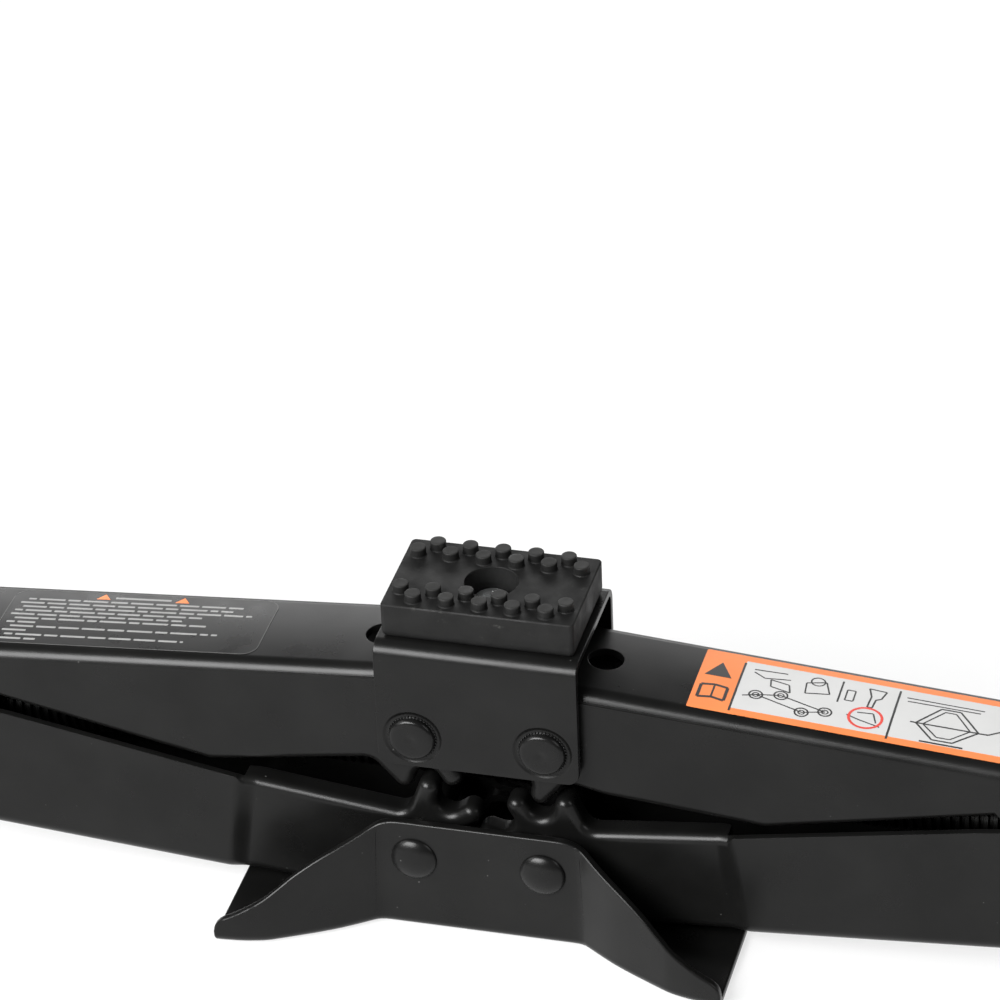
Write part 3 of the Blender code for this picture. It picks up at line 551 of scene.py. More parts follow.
def arm(name, side, level):
    upper = level > 0
    half_width, web, slope, web_start, ear = arm_facts(upper)
    phases = TEETH_A if side * level > 0 else TEETH_B

    def outline(inset):
        points = [(web_start, 45.0), (ARM_LENGTH + 0.5, 45.0), (ARM_LENGTH + 0.5, 19.0)]
        points += [(ARM_LENGTH + ear * math.cos(math.radians(a)), ear * math.sin(math.radians(a)))
                   for a in range(75, -151 if upper else -76, -5)]
        if upper:
            points += [(151.6, -4.6), (150.6, -1.5), (149.2, 3.2), (147.8, 6.6), (146.0, 9.6)]
        else:
            points += [(ARM_LENGTH - 7.0, -ear + 0.5), (ARM_LENGTH - 25.0, -13.9), (62.0, -10.3)]
        points += toothed_edge(phases, upper, inset)
        points += [polar(a, EAR_RADIUS) for a in range(int(phases[-1]) - 56, -95, -3)]
        points.append((web_start, 19.7 if upper else 18.3))
        return points

    rings = []
    for k in range(6):
        angle = math.radians(18.0 * k)
        across = half_width - FLANGE_BEND * (1.0 - math.cos(angle))
        inset = FLANGE_BEND * (1.0 - math.sin(angle))
        rings.append((across, inset))
    walls = [(-y, inset) for y, inset in rings] + [(y, inset) for y, inset in reversed(rings)]
    sides = loft([[(u, y, v) for u, v in outline(inset)] for y, inset in walls])
    body = channel_bar(half_width, web, slope, ARM_BEND)
    combine(body, sides, "INTERSECT")

    inner = toothed_edge(phases, upper, ARM_SHEET)
    hollow_side = [(BAR_START, web + 60.0), (BAR_END, web + 60.0), (BAR_END, -60.0), (inner[0][0], -60.0)]
    hollow_side += inner
    hollow_side.append(polar(phases[-1] - 60.0, 60.0))
    hollow = channel_bar(half_width - ARM_SHEET, web - ARM_SHEET, slope, ARM_BEND - ARM_SHEET)
    combine(hollow, slab(hollow_side, -50.0, 50.0, "Y"), "INTERSECT")
    slot = half_width - FLANGE_DEPTH
    cut(body, hollow, box((BAR_START, -slot, -60.0), (BAR_END - 10.0, slot, 15.0)))
    cut(body, rod(PIN_HOLE, -40.0, 40.0, "Y", (0.0, 0.0, 0.0)))
    cut(body, rod(JOURNAL_HOLE, -40.0, 40.0, "Y", (ARM_LENGTH, 0.0, 0.0)))
    if upper:
        cut(body, rod(WEB_HOLE_RADIUS, 10.0, 50.0, "Z", (WEB_HOLE_PLACE, 0.0, 0.0), 0.4, 64))
    soften(body)
    if not upper:
        jog(body)
    settle(body, arm_matrix(side, level))
    label = "right" if side > 0 else "left"
    full = ("upper_arm_" if upper else "lower_arm_") + label
    return shade(body, name, PAINT, full, (full,))


def jog(obj):
    """Step an arm's walls inward in a smooth S towards the pivot end."""
    run = JOG_END - JOG_START
    bm = bmesh.new()
    bm.from_mesh(obj.data)
    for k in range(11):
        everything = bm.verts[:] + bm.edges[:] + bm.faces[:]
        place = ((JOG_START + run * k / 10) * MM, 0, 0)
        bmesh.ops.bisect_plane(bm, geom=everything, dist=1e-7, plane_co=place, plane_no=(1, 0, 0))
    for vert in bm.verts:
        if abs(vert.co.y) > 12.0 * MM:
            share = min(1.0, max(0.0, (JOG_END * MM - vert.co.x) / (run * MM)))
            share = share * share * (3.0 - 2.0 * share)
            vert.co.y -= math.copysign(LOWER_JOG * MM * share, vert.co.y)
    bm.to_mesh(obj.data)
    bm.free()


for arm_side, word in SIDES:
    arm("folded_lower_arm_" + word, arm_side, -1)
    arm("folded_upper_arm_" + word, arm_side, 1)


# Foot ------------------------------------------------------------------------------


def foot():
    """Flared foot: floor plate with walls that follow its waisted outline."""
    flare = [(34.5, 30.5), (39.5, 34.0), (45.0, 37.6), (51.0, 41.0), (57.0, 44.1), (62.0, 46.6),
             (66.0, 48.4), (71.0, 49.7), (76.0, 50.5), (83.0, 51.1)]
    half = [(x, FOOT_HALF_WIDTH) for x in (0.0, 20.0, 30.0)] + [(31.9, 29.6), (33.3, 29.92)]
    half += smooth_line(flare, 4)
    slopes = [(b[1] - a[1]) / (b[0] - a[0]) for a, b in zip(half, half[1:])] + [0.08]
    lean = [math.hypot(1.0, (slopes[max(k - 1, 0)] + slopes[k]) / 2) for k in range(len(half))]

    def plan(inset, stretch):
        side = [(x, y - inset * f) for (x, y), f in zip(half[1:], lean[1:])]
        side.append((side[-1][0] + stretch, side[-1][1]))
        right = side + [(x, -y) for x, y in reversed(side)]
        return right + [(-x, -y) for x, y in right]

    def tub(inset, stretch, low, high, bend):
        rings = []
        for k in range(9):
            angle = math.radians(11.25 * k)
            z = low + bend * (1.0 - math.cos(angle))
            rings.append([(x, y, z) for x, y in plan(inset + bend * (1.0 - math.sin(angle)), stretch)])
        rings.append([(x, y, high) for x, y in plan(inset, stretch)])
        return loft(rings)

    wall = smooth_line([(24.0, 41.0), (28.0, 40.8), (31.5, 39.8), (35.0, 38.0), (40.0, 35.2), (46.0, 32.2),
                        (51.0, 29.5), (57.0, 25.5), (62.0, 21.3), (67.0, 17.2), (72.0, 13.9), (77.0, 11.0),
                        (80.3, 9.3), (82.3, 7.2), (83.0, 4.6)], 5) + [(83.0, -5.0)]
    profile = wall + [(-x, z) for x, z in reversed(wall)]
    body = combine(tub(0.0, 6.0, 0.0, 60.0, 3.8), slab(profile, -70.0, 70.0, "Y"), "INTERSECT")
    cut(body, tub(FOOT_SHEET, 12.0, FOOT_SHEET, 70.0, 0.8))
    for side in (-1, 1):
        cut(body, rod(PIN_HOLE, -60.0, 60.0, "Y", (side * PIVOT_X, 0.0, BASE_Z)))
    soften(body, 0.8, 3, 0.7)
    return shade(body, "pressed_foot", PAINT, "base", ("base_foot",))


foot()


# Saddle, pad and pins -----------------------------------------------------------------


def saddle():
    """Inverted channel with a coined ring round each rivet."""
    half_x, half_y, low, bend = 32.7, SADDLE_HALF_WIDTH, 59.9, 5.0
    section = [(half_y, low - 20.0)]
    for k in range(13):
        angle = math.radians(7.5 * k)
        section.append((half_y - bend + bend * math.cos(angle), SADDLE_TOP - bend + bend * math.sin(angle)))
    section += [(-y, z) for y, z in reversed(section)]
    body = slab(section, -half_x, half_x, "X")
    corner = 4.2
    outline = [(half_x, SADDLE_TOP + 5.0)]
    for a in range(0, 91, 9):
        angle = math.radians(a)
        outline.append((half_x - corner * (1.0 - math.cos(angle)), low + corner * (1.0 - math.sin(angle))))
    outline += [(-x, z) for x, z in reversed(outline)]
    combine(body, slab(outline, -40.0, 40.0, "Y"), "INTERSECT")
    wall = half_y - SADDLE_SHEET
    inside = [(wall, 0.0)]
    for k in range(9):
        angle = math.radians(11.25 * k)
        inside.append((wall - 2.5 * (1.0 - math.cos(angle)), SADDLE_TOP - 5.0 + 2.5 * math.sin(angle)))
    inside += [(-y, z) for y, z in reversed(inside)]
    cut(body, slab(inside, -50.0, 50.0, "X"))
    for side in (-1, 1):
        place = (side * PIVOT_X, 0.0, SADDLE_Z)
        cut(body, rod(PIN_HOLE, -60.0, 60.0, "Y", place))
        for face in (-1, 1):
            ease = [7.0 + 0.2 * k for k in range(15)]
            groove = [(r, face * (half_y - 0.55 * math.sin(math.pi * (r - 7.0) / 2.8) ** 1.3)) for r in ease]
            groove[0] = (ease[0], face * half_y)
            groove[-1] = (ease[-1], face * half_y)
            groove += [(ease[-1] + 0.3, face * (half_y + 1.0)), (ease[0] - 0.3, face * (half_y + 1.0))]
            cut(body, lathe(groove, 96, "Y", place, True))
    cut(body, rod(PAD_SCREW_HOLE, 90.0, 120.0, "Z", (0.0, 0.0, 0.0)))
    soften(body, 0.4, 2)
    return shade(body, "pressed_saddle", PAINT, "saddle", ("saddle_bracket",))


saddle()


def rivet(name, node, x, z, face, rise, body, knurled):
    """Pivot pin with two heads: full domes, or flat domes with a centre dimple and a knurled foot."""
    if knurled:
        dome = [(0.0, 0.78), (0.6, 0.79), (1.2, 0.86), (1.9, 0.93), (3.0, 0.97), (4.4, 1.0), (5.6, 0.985),
                (6.5, 0.90), (7.05, 0.72), (7.35, 0.44), (7.47, 0.2), (7.5, 0.06), (7.4, 0.0)]
    else:
        angles = [math.radians(6.0 * k) for k in range(15)]
        dome = [(RIVET_RADIUS * math.sin(a), math.cos(a) ** 1.15) for a in angles]
        dome += [(RIVET_RADIUS, 0.03), (RIVET_RADIUS - 0.1, 0.0)]
    start = face + 0.12
    half = [(r, start + rise * h) for r, h in dome] + [(5.0, start), (5.0, start - 0.6)]
    profile = half + [(r, -h) for r, h in reversed(half)]
    pin = lathe(profile, 72, "Y", (x, 0.0, z))
    if knurled:
        nubs = [pin]
        out = RIVET_RADIUS + 0.22
        arc = [(0.34 * math.sin(math.pi * k / 6), 0.34 * math.cos(math.pi * k / 6)) for k in range(7)]
        for k in range(KNURL_COUNT):
            angle = 2 * math.pi * k / KNURL_COUNT
            for side in (-1, 1):
                place = (x + out * math.cos(angle), side * (face - 0.12), z + out * math.sin(angle))
                nubs.append(lathe(arc, 8, "Y", place))
        pin = gather(nubs)
    return shade(pin, name, RIVET_PAINT, body, (node,), 50.0)


def spacer(name, node, body, x, z, face, near, far, radius=SPACER_RADIUS, hole=PIN_HOLE):
    """Washer on a cross pin, from near to far off the middle on the front or back side."""
    low, high = sorted((face * near, face * far))
    washer = ring(radius, hole, low, high, "Y", (x, 0.0, z))
    return shade(washer, name, STEEL, body, (node,))


for arm_side, word in SIDES:
    pin_x = arm_side * PIVOT_X
    rivet("base_rivet_" + word, "base_pin_" + word, pin_x, BASE_Z, FOOT_HALF_WIDTH, 3.0, "base", False)
    rivet("saddle_rivet_" + word, "saddle_pin_" + word, pin_x, SADDLE_Z, SADDLE_HALF_WIDTH, 2.0, "saddle",
          True)
    for face, depth in FACES:
        where = f"_{word}_{depth}"
        spacer("foot_washer" + where, "base_spacer" + where, "base", pin_x, BASE_Z, face,
               LOWER_HALF_WIDTH - LOWER_JOG + PLAY, FOOT_HALF_WIDTH - FOOT_SHEET - PLAY)
        spacer("saddle_washer" + where, "saddle_spacer" + where, "saddle", pin_x, SADDLE_Z, face,
               UPPER_HALF_WIDTH + PLAY, SADDLE_HALF_WIDTH - SADDLE_SHEET - PLAY)


def rounded_rectangle(half_x, half_y, radius, steps=8):
    points = []
    for sx, sy, start in ((1, 1, 0), (-1, 1, 90), (-1, -1, 180), (1, -1, 270)):
        for k in range(steps + 1):
            angle = math.radians(start + 90.0 * k / steps)
            points.append((sx * (half_x - radius) + radius * math.cos(angle),
                           sy * (half_y - radius) + radius * math.sin(angle)))
    return points


def pad():
    """Rubber block with slightly crowned sides, rows of studs and a counterbore."""
    base = SADDLE_TOP + 0.1
    levels = ((1.3, base), (0.55, base + 0.4), (0.12, base + 1.3), (0.0, base + 2.6), (0.0, base + 7.0),
              (0.0, PAD_TOP - 0.5), (0.12, PAD_TOP - 0.14), (0.4, PAD_TOP))
    rings = []
    for inset, z in levels:
        plan = rounded_rectangle(PAD_HALF_LENGTH - inset, PAD_HALF_WIDTH - inset, PAD_CORNER - inset * 0.5)
        rings.append([(x, y, z) for x, y in plan])
    block = loft(rings)
    cut(block, rod(8.5, SADDLE_TOP + 2.0, 140.0, "Z", (0.0, 0.0, 0.0), 0.01, 72))
    cut(block, rod(PAD_SCREW_HOLE, 90.0, 120.0, "Z", (0.0, 0.0, 0.0)))
    soften(block, 0.3, 2)
    parts = [block]
    stud = [(0.0, 2.94), (1.2, 2.96), (2.1, 3.0), (2.38, 2.95), (2.5, 2.8), (2.53, 2.5), (2.5, 1.2),
            (2.56, 0.95), (2.5, 0.7), (2.52, 0.3), (2.62, 0.1), (2.8, 0.0), (2.8, -0.4), (0.0, -0.4)]
    for row, count in STUD_ROWS:
        for index in range(count):
            x = (index - (count - 1) / 2) * STUD_PITCH
            for y in (-row, row):
                shift = 0.12 * math.sin(x * 1.7 + y * 2.3)
                profile = [(r * (1.0 + 0.02 * math.sin(x + y)), PAD_TOP + h) for r, h in stud]
                parts.append(lathe(profile, 28, "Z", (x + shift, y - shift, 0.0)))
    return shade(gather(parts), "studded_rubber_pad", RUBBER, "saddle", ("rubber_pad",), 55.0)


pad()

pad_washer = ring(8.0, PAD_SCREW_HOLE, SADDLE_TOP + 2.3, SADDLE_TOP + 3.5, "Z", (0.0, 0.0, 0.0))
shade(pad_washer, "pad_plain_washer", ZINC, "saddle", ("pad_washer",))


def pad_screw():
    """Pan head screw with a cross recess."""
    head = SADDLE_TOP + 3.8
    profile = [(0.0, head + 3.0), (3.2, head + 2.94), (4.8, head + 2.7), (5.6, head + 2.2),
               (5.95, head + 1.4), (6.0, head + 0.1), (5.9, head), (4.0, head)]
    z = head - 0.8
    while z > 93.6:
        profile += [(4.0, z), (3.45, z - 0.45), (3.45, z - 0.75)]
        z -= 1.25
    profile += [(3.3, 92.9), (0.0, 92.8)]
    screw = lathe(profile, 48)
    for half_x, half_y in ((2.9, 0.55), (0.55, 2.9)):
        wing = [(-half_x, -half_y), (half_x, -half_y), (half_x, half_y), (-half_x, half_y)]
        levels = ((0.55, head + 0.7), (1.12, head + 3.6))
        cut(screw, loft([[(x * size, y * size, z) for x, y in wing] for size, z in levels]))
    soften(screw, 0.0)
    return shade(screw, "pad_cross_screw", ZINC, "saddle", ("pad_screw",), 30.0)


pad_screw()


def pad_nut():
    """Hexagon nut with chamfered corners."""
    top = SADDLE_TOP - SADDLE_SHEET - PLAY
    low = top - 6.4
    corners = [math.radians(60 * k) for k in range(6)]
    nut = slab([(7.5 * math.cos(angle), 7.5 * math.sin(angle)) for angle in corners], low, top)
    chamfers = [(0.0, top + 0.2), (6.3, top + 0.2), (7.9, top - 0.9), (7.9, low + 0.9), (6.3, low - 0.2),
                (0.0, low - 0.2)]
    combine(nut, lathe(chamfers, 48), "INTERSECT")
    cut(nut, rod(PAD_SCREW_HOLE, 80.0, 120.0, "Z", (0.0, 0.0, 0.0)))
    soften(nut, 0.15, 1)
    return shade(nut, "pad_hexagon_nut", ZINC, "saddle", ("pad_nut",))


pad_nut()


# Trunnions, screw and drive end ----------------------------------------------------------


def trunnion(name, node, side, body):
    """Block on the screw with a headed journal each side."""
    x = side * TRUNNION_X
    outline = [(x + px, SCREW_Z + pz) for px, pz in rounded_rectangle(12.0, 14.0, 5.0)]
    block = slab(outline, -17.2, 17.2, "Y")
    soften(block, 0.6, 3)
    cut(block, rod(SCREW_HOLE, x - 40.0, x + 40.0, "X", AXIS, 0.4, 64))
    end = LOWER_HALF_WIDTH + 2.2
    dome = [(0.0, 2.2), (1.0, 2.22), (2.0, 2.38), (3.2, 2.4), (5.0, 2.25), (6.8, 1.85), (8.2, 1.2),
            (8.85, 0.5), (9.0, 0.0), (7.0, 0.0), (7.0, -9.0), (0.0, -9.0)]
    parts = [block]
    for face in (-1, 1):
        parts.append(lathe([(r, face * (end + h)) for r, h in dome], 64, "Y", (x, 0.0, SCREW_Z)))
    return shade(gather(parts), name, FORGED, body, (node,), 40.0)


trunnion("nut_block_forging", "nut_trunnion", -1, "nut_block")
trunnion("bearing_block_forging", "bearing_trunnion", 1, "bearing_block")
for arm_side, kind in ((-1, "nut"), (1, "bearing")):
    for face, depth in FACES:
        spacer(f"{kind}_block_washer_{depth}", f"{kind}_trunnion_washer_{depth}", kind + "_block",
               arm_side * TRUNNION_X, SCREW_Z, face, LOWER_HALF_WIDTH + PLAY, LOWER_HALF_WIDTH + 1.9,
               10.5, JOURNAL_HOLE)


def thread(start, turns):
    """Open helical band of a trapezoidal thread that starts at a place along the screw."""
    section = ((THREAD_ROOT, 0.0), (THREAD_ROOT, 0.95), (THREAD_RADIUS, 1.35), (THREAD_RADIUS, 2.6))
    bm = bmesh.new()
    rows = []
    for k in range(turns * THREAD_STEPS + 1):
        angle = 2 * math.pi * k / THREAD_STEPS
        row = []
        for radius, ahead in section:
            x = start + THREAD_PITCH * k / THREAD_STEPS + ahead
            point = Vector((x, radius * math.cos(angle), SCREW_Z + radius * math.sin(angle)))
            row.append(bm.verts.new(point * MM))
        rows.append(row)
    for k in range(turns * THREAD_STEPS):
        here, there = rows[k], rows[k + 1]
        for j in range(3):
            bm.faces.new((here[j], here[j + 1], there[j + 1], there[j]))
        if k + THREAD_STEPS + 1 < len(rows):
            bm.faces.new((here[3], rows[k + THREAD_STEPS][0], rows[k + THREAD_STEPS + 1][0], there[3]))
    return from_bmesh(bm)


def lead_screw():
    """Trapezoidal screw with plain ends."""
    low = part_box("lead_screw")[0][0] / MM
    start = low + 14.0
    end = TRUNNION_X - 17.5
    shoulder = TRUNNION_X + 12.0
    tip = TRUNNION_X + 33.0
    threaded = thread(start, int((TRUNNION_X - 16.0 - start) / THREAD_PITCH))
    stub = [(0.0, low), (5.2, low), (THREAD_RADIUS, low + 1.8), (THREAD_RADIUS, start + 2.8),
            (THREAD_ROOT, start + 3.6), (0.0, start + 3.6)]
    journal = [(0.0, end - 2.6), (THREAD_ROOT, end - 2.6), (THREAD_RADIUS, end - 1.4),
               (THREAD_RADIUS, shoulder - 1.0), (6.0, shoulder), (6.0, tip - 1.0), (5.0, tip), (0.0, tip)]
    screw = gather([threaded, lathe(stub, 56, "X", AXIS), lathe(journal, 56, "X", AXIS)])
    return shade(screw, "threaded_lead_screw", THREAD, "screw", ("lead_screw",), 28.0)


lead_screw()

for node, body_name in (("thrust_washer_inner", "bearing_block"), ("thrust_washer_outer", "screw")):
    low_corner, high_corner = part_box(node)
    washer = ring(12.5, 6.3, low_corner[0] / MM, high_corner[0] / MM, "X", AXIS)
    shade(washer, node + "_turned", STEEL, body_name, (node,))


def ball_cage():
    """Ring with a pocket for each ball."""
    low_corner, high_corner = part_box("ball_cage")
    cage = ring(12.3, 6.3, low_corner[0] / MM, high_corner[0] / MM, "X", AXIS, 0.15)
    for k in range(BALL_COUNT):
        angle = 2 * math.pi * k / BALL_COUNT
        place = (0.0, BALL_CIRCLE * math.cos(angle), SCREW_Z + BALL_CIRCLE * math.sin(angle))
        cut(cage, rod(2.15, low_corner[0] / MM - 3.0, high_corner[0] / MM + 3.0, "X", place, 0.1, 28))
    return shade(cage, "stamped_ball_cage", BRASS, "screw", ("ball_cage",))


ball_cage()
for number in range(1, BALL_COUNT + 1):
    low_corner, high_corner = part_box(f"thrust_ball_{number}")
    middle = [(a + b) / 2 / MM for a, b in zip(low_corner, high_corner)]
    angles = [math.pi * k / 14 for k in range(15)]
    arc = [(BALL_RADIUS * math.sin(angle), BALL_RADIUS * math.cos(angle)) for angle in angles]
    ball = lathe(arc, 24, "X", middle)
    shade(ball, f"polished_ball_{number}", ZINC, "screw", (f"thrust_ball_{number}",), 80.0)


def drive_eye():
    """Forged eye: a ring blended into its hub."""
    low_corner, high_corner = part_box("drive_eye")
    start = low_corner[0] / MM
    centre = TRUNNION_X + 48.0
    hub = lathe([(0.0, start), (7.6, start), (8.3, start + 0.7), (8.3, centre - 14.0), (6.6, centre - 10.0),
                 (4.0, centre - 8.0), (0.0, centre - 8.0)], 48, "X", AXIS)
    angles = [2 * math.pi * k / 24 for k in range(24)]
    circle = [(11.5 + 4.35 * math.cos(angle), 4.35 * math.sin(angle)) for angle in angles]
    loop = lathe(circle, 72, "Y", (centre, 0.0, SCREW_Z), True)
    combine(hub, loop, "UNION")
    remesh = hub.modifiers.new("forge", "REMESH")
    remesh.mode = "VOXEL"
    remesh.voxel_size = 0.55 * MM
    relax = hub.modifiers.new("relax", "SMOOTH")
    relax.iterations = 9
    relax.factor = 0.5
    applied(hub)
    return shade(hub, "forged_drive_eye", FORGED, "screw", ("drive_eye",), 80.0)


drive_eye()
for node, radius, half in (("drive_pin", 2.0, 7.9), ("stop_pin", 2.0, 9.4)):
    low_corner, high_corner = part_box(node)
    x = (low_corner[0] + high_corner[0]) / 2 / MM
    pin = rod(radius, SCREW_Z - half, SCREW_Z + half, "Z", (x, 0.0, 0.0), 0.35, 40)
    shade(pin, node + "_spring", STEEL, "screw", (node,))
low_corner, high_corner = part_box("stop_collar")
collar = ring(10.0, SCREW_HOLE, low_corner[0] / MM, high_corner[0] / MM, "X", AXIS, 0.7)
shade(collar, "turned_stop_collar", STEEL, "screw", ("stop_collar",))


# Stickers ----------------------------------------------------------------------------


def on_web(side, shapes, low, high):
    """Thin film shapes laid on an upper arm's web and round its shoulders.

    Each shape is a closed outline in (along, across), and low and high are its heights."""
    half_width, web, slope, _, _ = arm_facts(True)
    flat = half_width - ARM_BEND
    bm = bmesh.new()
    for outline in shapes:
        piece = slab(outline, low, high)
        bm.from_mesh(piece.data)
        bpy.data.objects.remove(piece, do_unlink=True)
    folds = [sign * (flat + 0.7 * k) for k in range(4) for sign in (-1, 1)]
    for fold in folds + [flat * k / 6.0 for k in range(-5, 6)]:
        everything = bm.verts[:] + bm.edges[:] + bm.faces[:]
        bmesh.ops.bisect_plane(bm, geom=everything, dist=1e-8, plane_co=(0, fold * MM, 0), plane_no=(0, 1, 0))
    for vert in bm.verts:
        u, s, h = (value / MM for value in vert.co)
        over = max(0.0, abs(s) - flat) / ARM_BEND
        y = math.copysign(min(abs(s), flat) + (ARM_BEND + h) * math.sin(over), s)
        v = web + slope * u - ARM_BEND + (ARM_BEND + h) * math.cos(over)
        v += WEB_CROWN * max(0.0, 1.0 - (s / flat) ** 2)
        vert.co = Vector((u, y, v)) * MM
    obj = from_bmesh(bm)
    return settle(obj, arm_matrix(side, 1))


def rounded_box(u0, u1, s0, s1, radius=1.0, steps=6):
    middle = ((u0 + u1) / 2, (s0 + s1) / 2)
    return [(middle[0] + a, middle[1] + b)
            for a, b in rounded_rectangle((u1 - u0) / 2, (s1 - s0) / 2, radius, steps)]


def stroke(start, end, width):
    """Thin bar from one point to another."""
    dx = end[0] - start[0]
    dy = end[1] - start[1]
    length = math.hypot(dx, dy)
    nx = -dy / length * width / 2
    ny = dx / length * width / 2
    return [(start[0] + nx, start[1] + ny), (start[0] - nx, start[1] - ny), (end[0] - nx, end[1] - ny),
            (end[0] + nx, end[1] + ny)]


def lines(points, width, closed=False):
    """Strokes from point to point, a little heavier than their nominal width so that they join up."""
    points = list(points)
    ends = points[1:] + (points[:1] if closed else [])
    return [stroke(a, b, width * 1.25) for a, b in zip(points, ends)]


def round_line(centre, radius, width, count=20):
    u, s = centre
    angles = [2 * math.pi * k / count for k in range(count)]
    points = [(u + radius * math.cos(angle), s + radius * math.sin(angle)) for angle in angles]
    return lines(points, width, True)


def film_piece(name, side, shapes, low, high, material, replaces=()):
    obj = on_web(side, shapes, low, high)
    body = "upper_arm_right" if side > 0 else "upper_arm_left"
    return shade(obj, name, material, body, replaces, 40.0)


def dark_sticker():
    """Left arm: dark film with a fine light border, a title bar between two triangles and rows of bars."""
    film_piece("dark_sticker", -1, [rounded_box(50.5, 141.0, -15.6, 15.6, 5.0)], 0.02, 0.10, LABEL_DARK,
               ("label_left",))
    border = lines(rounded_box(50.7, 140.8, -15.4, 15.4, 4.9), 0.20, True)
    film_piece("dark_sticker_border", -1, border, 0.10, 0.13, LABEL_EDGE)
    rows = ((62.0, 135.5), (64.8, 137.5), (57.7, 136.0), (73.9, 138.0), (80.0, 138.5), (71.2, 136.5),
            (128.6, 138.5), (66.0, 136.5), (130.3, 138.5), (76.0, 137.0), (125.6, 138.5))
    bars = []
    for row, (first, last) in enumerate(rows):
        across = 10.0 - 2.3 * row
        at = last
        k = 0
        while at > first:
            size = min(2.6 + 6.4 * abs(math.sin(row * 2.1 + k * 1.7)), at - first)
            if size > 1.0:
                bars.append(rounded_box(at - size, at, across - 0.46, across + 0.46, 0.25, 2))
            at -= size + 1.0
            k += 1
    bars.append(rounded_box(87.4, 106.4, 12.2, 13.2, 0.25, 2))
    film_piece("dark_sticker_bars", -1, bars, 0.10, 0.13, LABEL_GREY)
    triangles = [[(u - 2.4, 11.6), (u + 2.4, 11.6), (u, 14.8)] for u in (83.4, 110.4)]
    film_piece("dark_sticker_marks", -1, triangles, 0.10, 0.13, LABEL_ORANGE)


def line_drawings():
    """Panel rules, a triangle, a book, a car on wheels, hand tools and a folding jack, all in plain lines."""
    ink = [stroke((54.6, -14.8), (54.6, 11.6), 0.7), stroke((104.0, -14.6), (104.0, 11.4), 0.7)]
    ink.append(stroke((86.0, -0.5), (86.0, 11.0), 0.6))
    ink.append([(43.4, 1.6), (52.0, 1.6), (47.7, 9.4)])
    ink.append(stroke((47.8, -9.6), (47.8, -3.0), 0.6))
    ink += lines(((114.0, -12.6), (127.6, -12.6)), 0.6)
    ink += lines(((109.6, -3.8), (134.0, -3.6), (139.6, 0.6)), 0.5)
    for points in (((58.0, 8.8), (68.5, 9.4)), ((58.2, 7.4), (62.0, 5.0), (70.0, 6.4)),
                   ((61.0, -4.4), (76.4, -9.2)), ((68.6, -2.6), (83.4, -7.0)), ((76.4, -9.2), (83.4, -7.0)),
                   ((57.0, -6.0), (61.0, -4.4), (68.6, -2.6)), ((90.0, -6.0), (94.0, -7.6), (101.0, -9.6)),
                   ((93.0, -4.0), (98.0, -3.4), (99.6, -8.0)), ((106.5, 8.4), (131.0, 8.4)),
                   ((107.0, 6.6), (130.0, 6.8))):
        ink += lines(points, 0.4)
    closed = (
        (0.8, ((43.6, -10.5), (47.8, -9.6), (52.0, -10.5), (52.0, -3.8), (47.8, -3.0), (43.6, -3.8))),
        (0.4, ((64.0, 4.8), (64.6, 1.2), (71.0, -0.4), (70.0, 3.6))),
        (0.4, ((75.5, 1.0), (75.0, 6.6), (81.0, 8.6), (83.0, 2.6))),
        (0.4, ((88.0, 1.2), (88.0, 6.8), (90.6, 6.8), (90.6, 1.2))),
        (0.45, ((94.5, 9.6), (100.0, 9.2), (99.0, 5.0), (97.4, 4.0), (97.0, -0.4), (95.4, -0.4),
                (95.8, 5.4))),
        (0.5, ((118.0, 5.6), (124.0, 5.6), (131.0, -3.6), (124.0, -11.0), (117.6, -11.0), (111.4, -3.8))),
        (0.4, ((119.4, 4.2), (122.8, 4.2), (128.4, -3.6), (123.0, -9.4), (118.8, -9.4), (113.6, -3.8))))
    for width, points in closed:
        ink += lines(points, width, True)
    ink += round_line((78.4, 8.2), 2.2, 0.4)
    for wheel in ((61.0, -4.4), (68.6, -2.6), (76.4, -9.2), (83.4, -7.0)):
        ink += round_line(wheel, 2.1, 0.45) + round_line(wheel, 1.0, 0.35, 12)
    return ink


def orange_sticker():
    """Right arm: orange film with a white panel, plain line drawings and a red ring."""
    film_piece("orange_sticker", 1, [rounded_box(41.5, 143.0, -16.2, 15.6, 0.6)], 0.02, 0.10, LABEL_ORANGE,
               ("label_right",))
    film_piece("orange_sticker_panel", 1, [rounded_box(54.8, 141.0, -13.2, 12.6, 0.4)], 0.10, 0.13,
               LABEL_WHITE)
    film_piece("orange_sticker_drawing", 1, line_drawings(), 0.13, 0.16, LABEL_INK)
    circle = round_line((96.0, -6.2), 5.2, 0.7, 28)
    film_piece("orange_sticker_ring", 1, circle, 0.16, 0.18, LABEL_RED)


dark_sticker()
orange_sticker()


# Setting ----------------------------------------------------------------------------


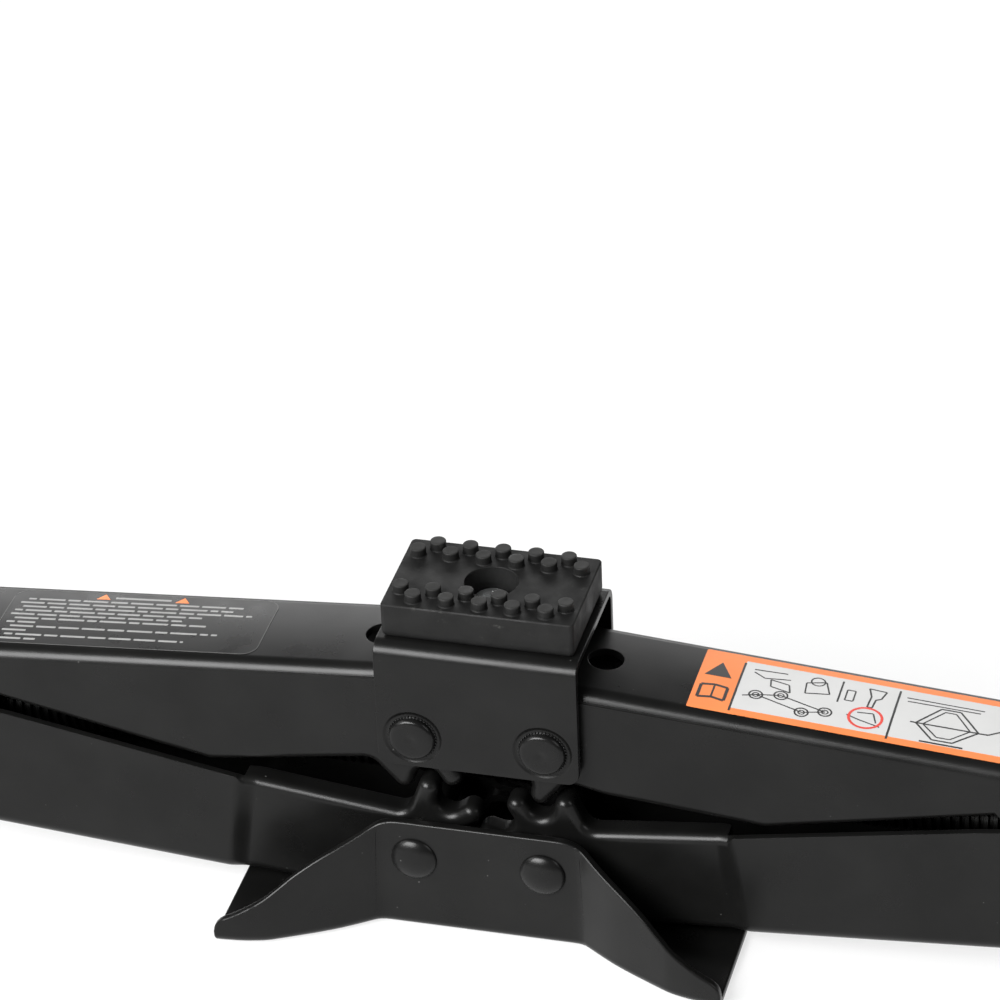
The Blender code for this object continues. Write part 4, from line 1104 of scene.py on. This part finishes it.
def floor():
    obj = box((-3000.0, -2200.0, -6.0), (3000.0, 3800.0, -0.05))
    surface = Surface("pale_floor", (0.22, 0.22, 0.22), 0.9)
    clouds = surface.span(surface.noise(3.0), 0.3, 0.7, 0.0, 1.0)
    surface.tint(clouds, (0.230, 0.230, 0.229), (0.215, 0.215, 0.215))
    surface.shader.inputs["Emission Color"].default_value = (1.0, 1.0, 1.0, 1.0)
    surface.shader.inputs["Emission Strength"].default_value = 0.72
    obj.data.materials.append(surface.material)
    obj.name = "pale_floor"


floor()


def area_light(name, place, target, size, power):
    data = bpy.data.lights.new(name, "AREA")
    data.shape = "RECTANGLE"
    data.size, data.size_y = size
    data.energy = power
    lamp = bpy.data.objects.new(name, data)
    lamp.location = place
    lamp.rotation_euler = (Vector(target) - Vector(place)).to_track_quat("-Z", "Y").to_euler()
    bpy.context.scene.collection.objects.link(lamp)


bpy.context.scene.view_settings.view_transform = "Standard"
area_light("front_softbox", (-0.85, -1.40, 1.20), (0.0, 0.0, 0.06), (1.4, 1.0), 94.0)
area_light("left_softbox", (-1.7, -0.35, 1.25), (0.0, 0.0, 0.05), (1.0, 1.0), 9.0)
area_light("right_softbox", (1.7, -0.15, 1.25), (0.0, 0.0, 0.05), (1.0, 1.0), 9.0)
area_light("back_panel", (-0.45, 1.70, 0.72), (0.0, 0.0, 0.08), (1.9, 0.6), 16.0)


def studio_world():
    world = bpy.data.worlds.new("studio")
    bpy.context.scene.world = world
    world.use_nodes = True
    background = world.node_tree.nodes["Background"]
    background.inputs["Color"].default_value = (1.0, 1.0, 1.0, 1.0)
    background.inputs["Strength"].default_value = 0.14


def place_camera():
    """Long lens that looks down at the jack from the front, a little to its right."""
    data = bpy.data.cameras.new("camera")
    data.lens = 175.84
    data.sensor_width = 36.0
    data.clip_start = 0.05
    right = Vector((0.96724, 0.25139, -0.03530))
    up = Vector((-0.10567, 0.52519, 0.84440))
    turn = Matrix((right, up, right.cross(up))).transposed().to_4x4()
    camera = bpy.data.objects.new("camera", data)
    camera.matrix_world = Matrix.Translation((0.35205, -1.22643, 0.95374)) @ turn
    bpy.context.scene.collection.objects.link(camera)
    bpy.context.scene.camera = camera


studio_world()
place_camera()
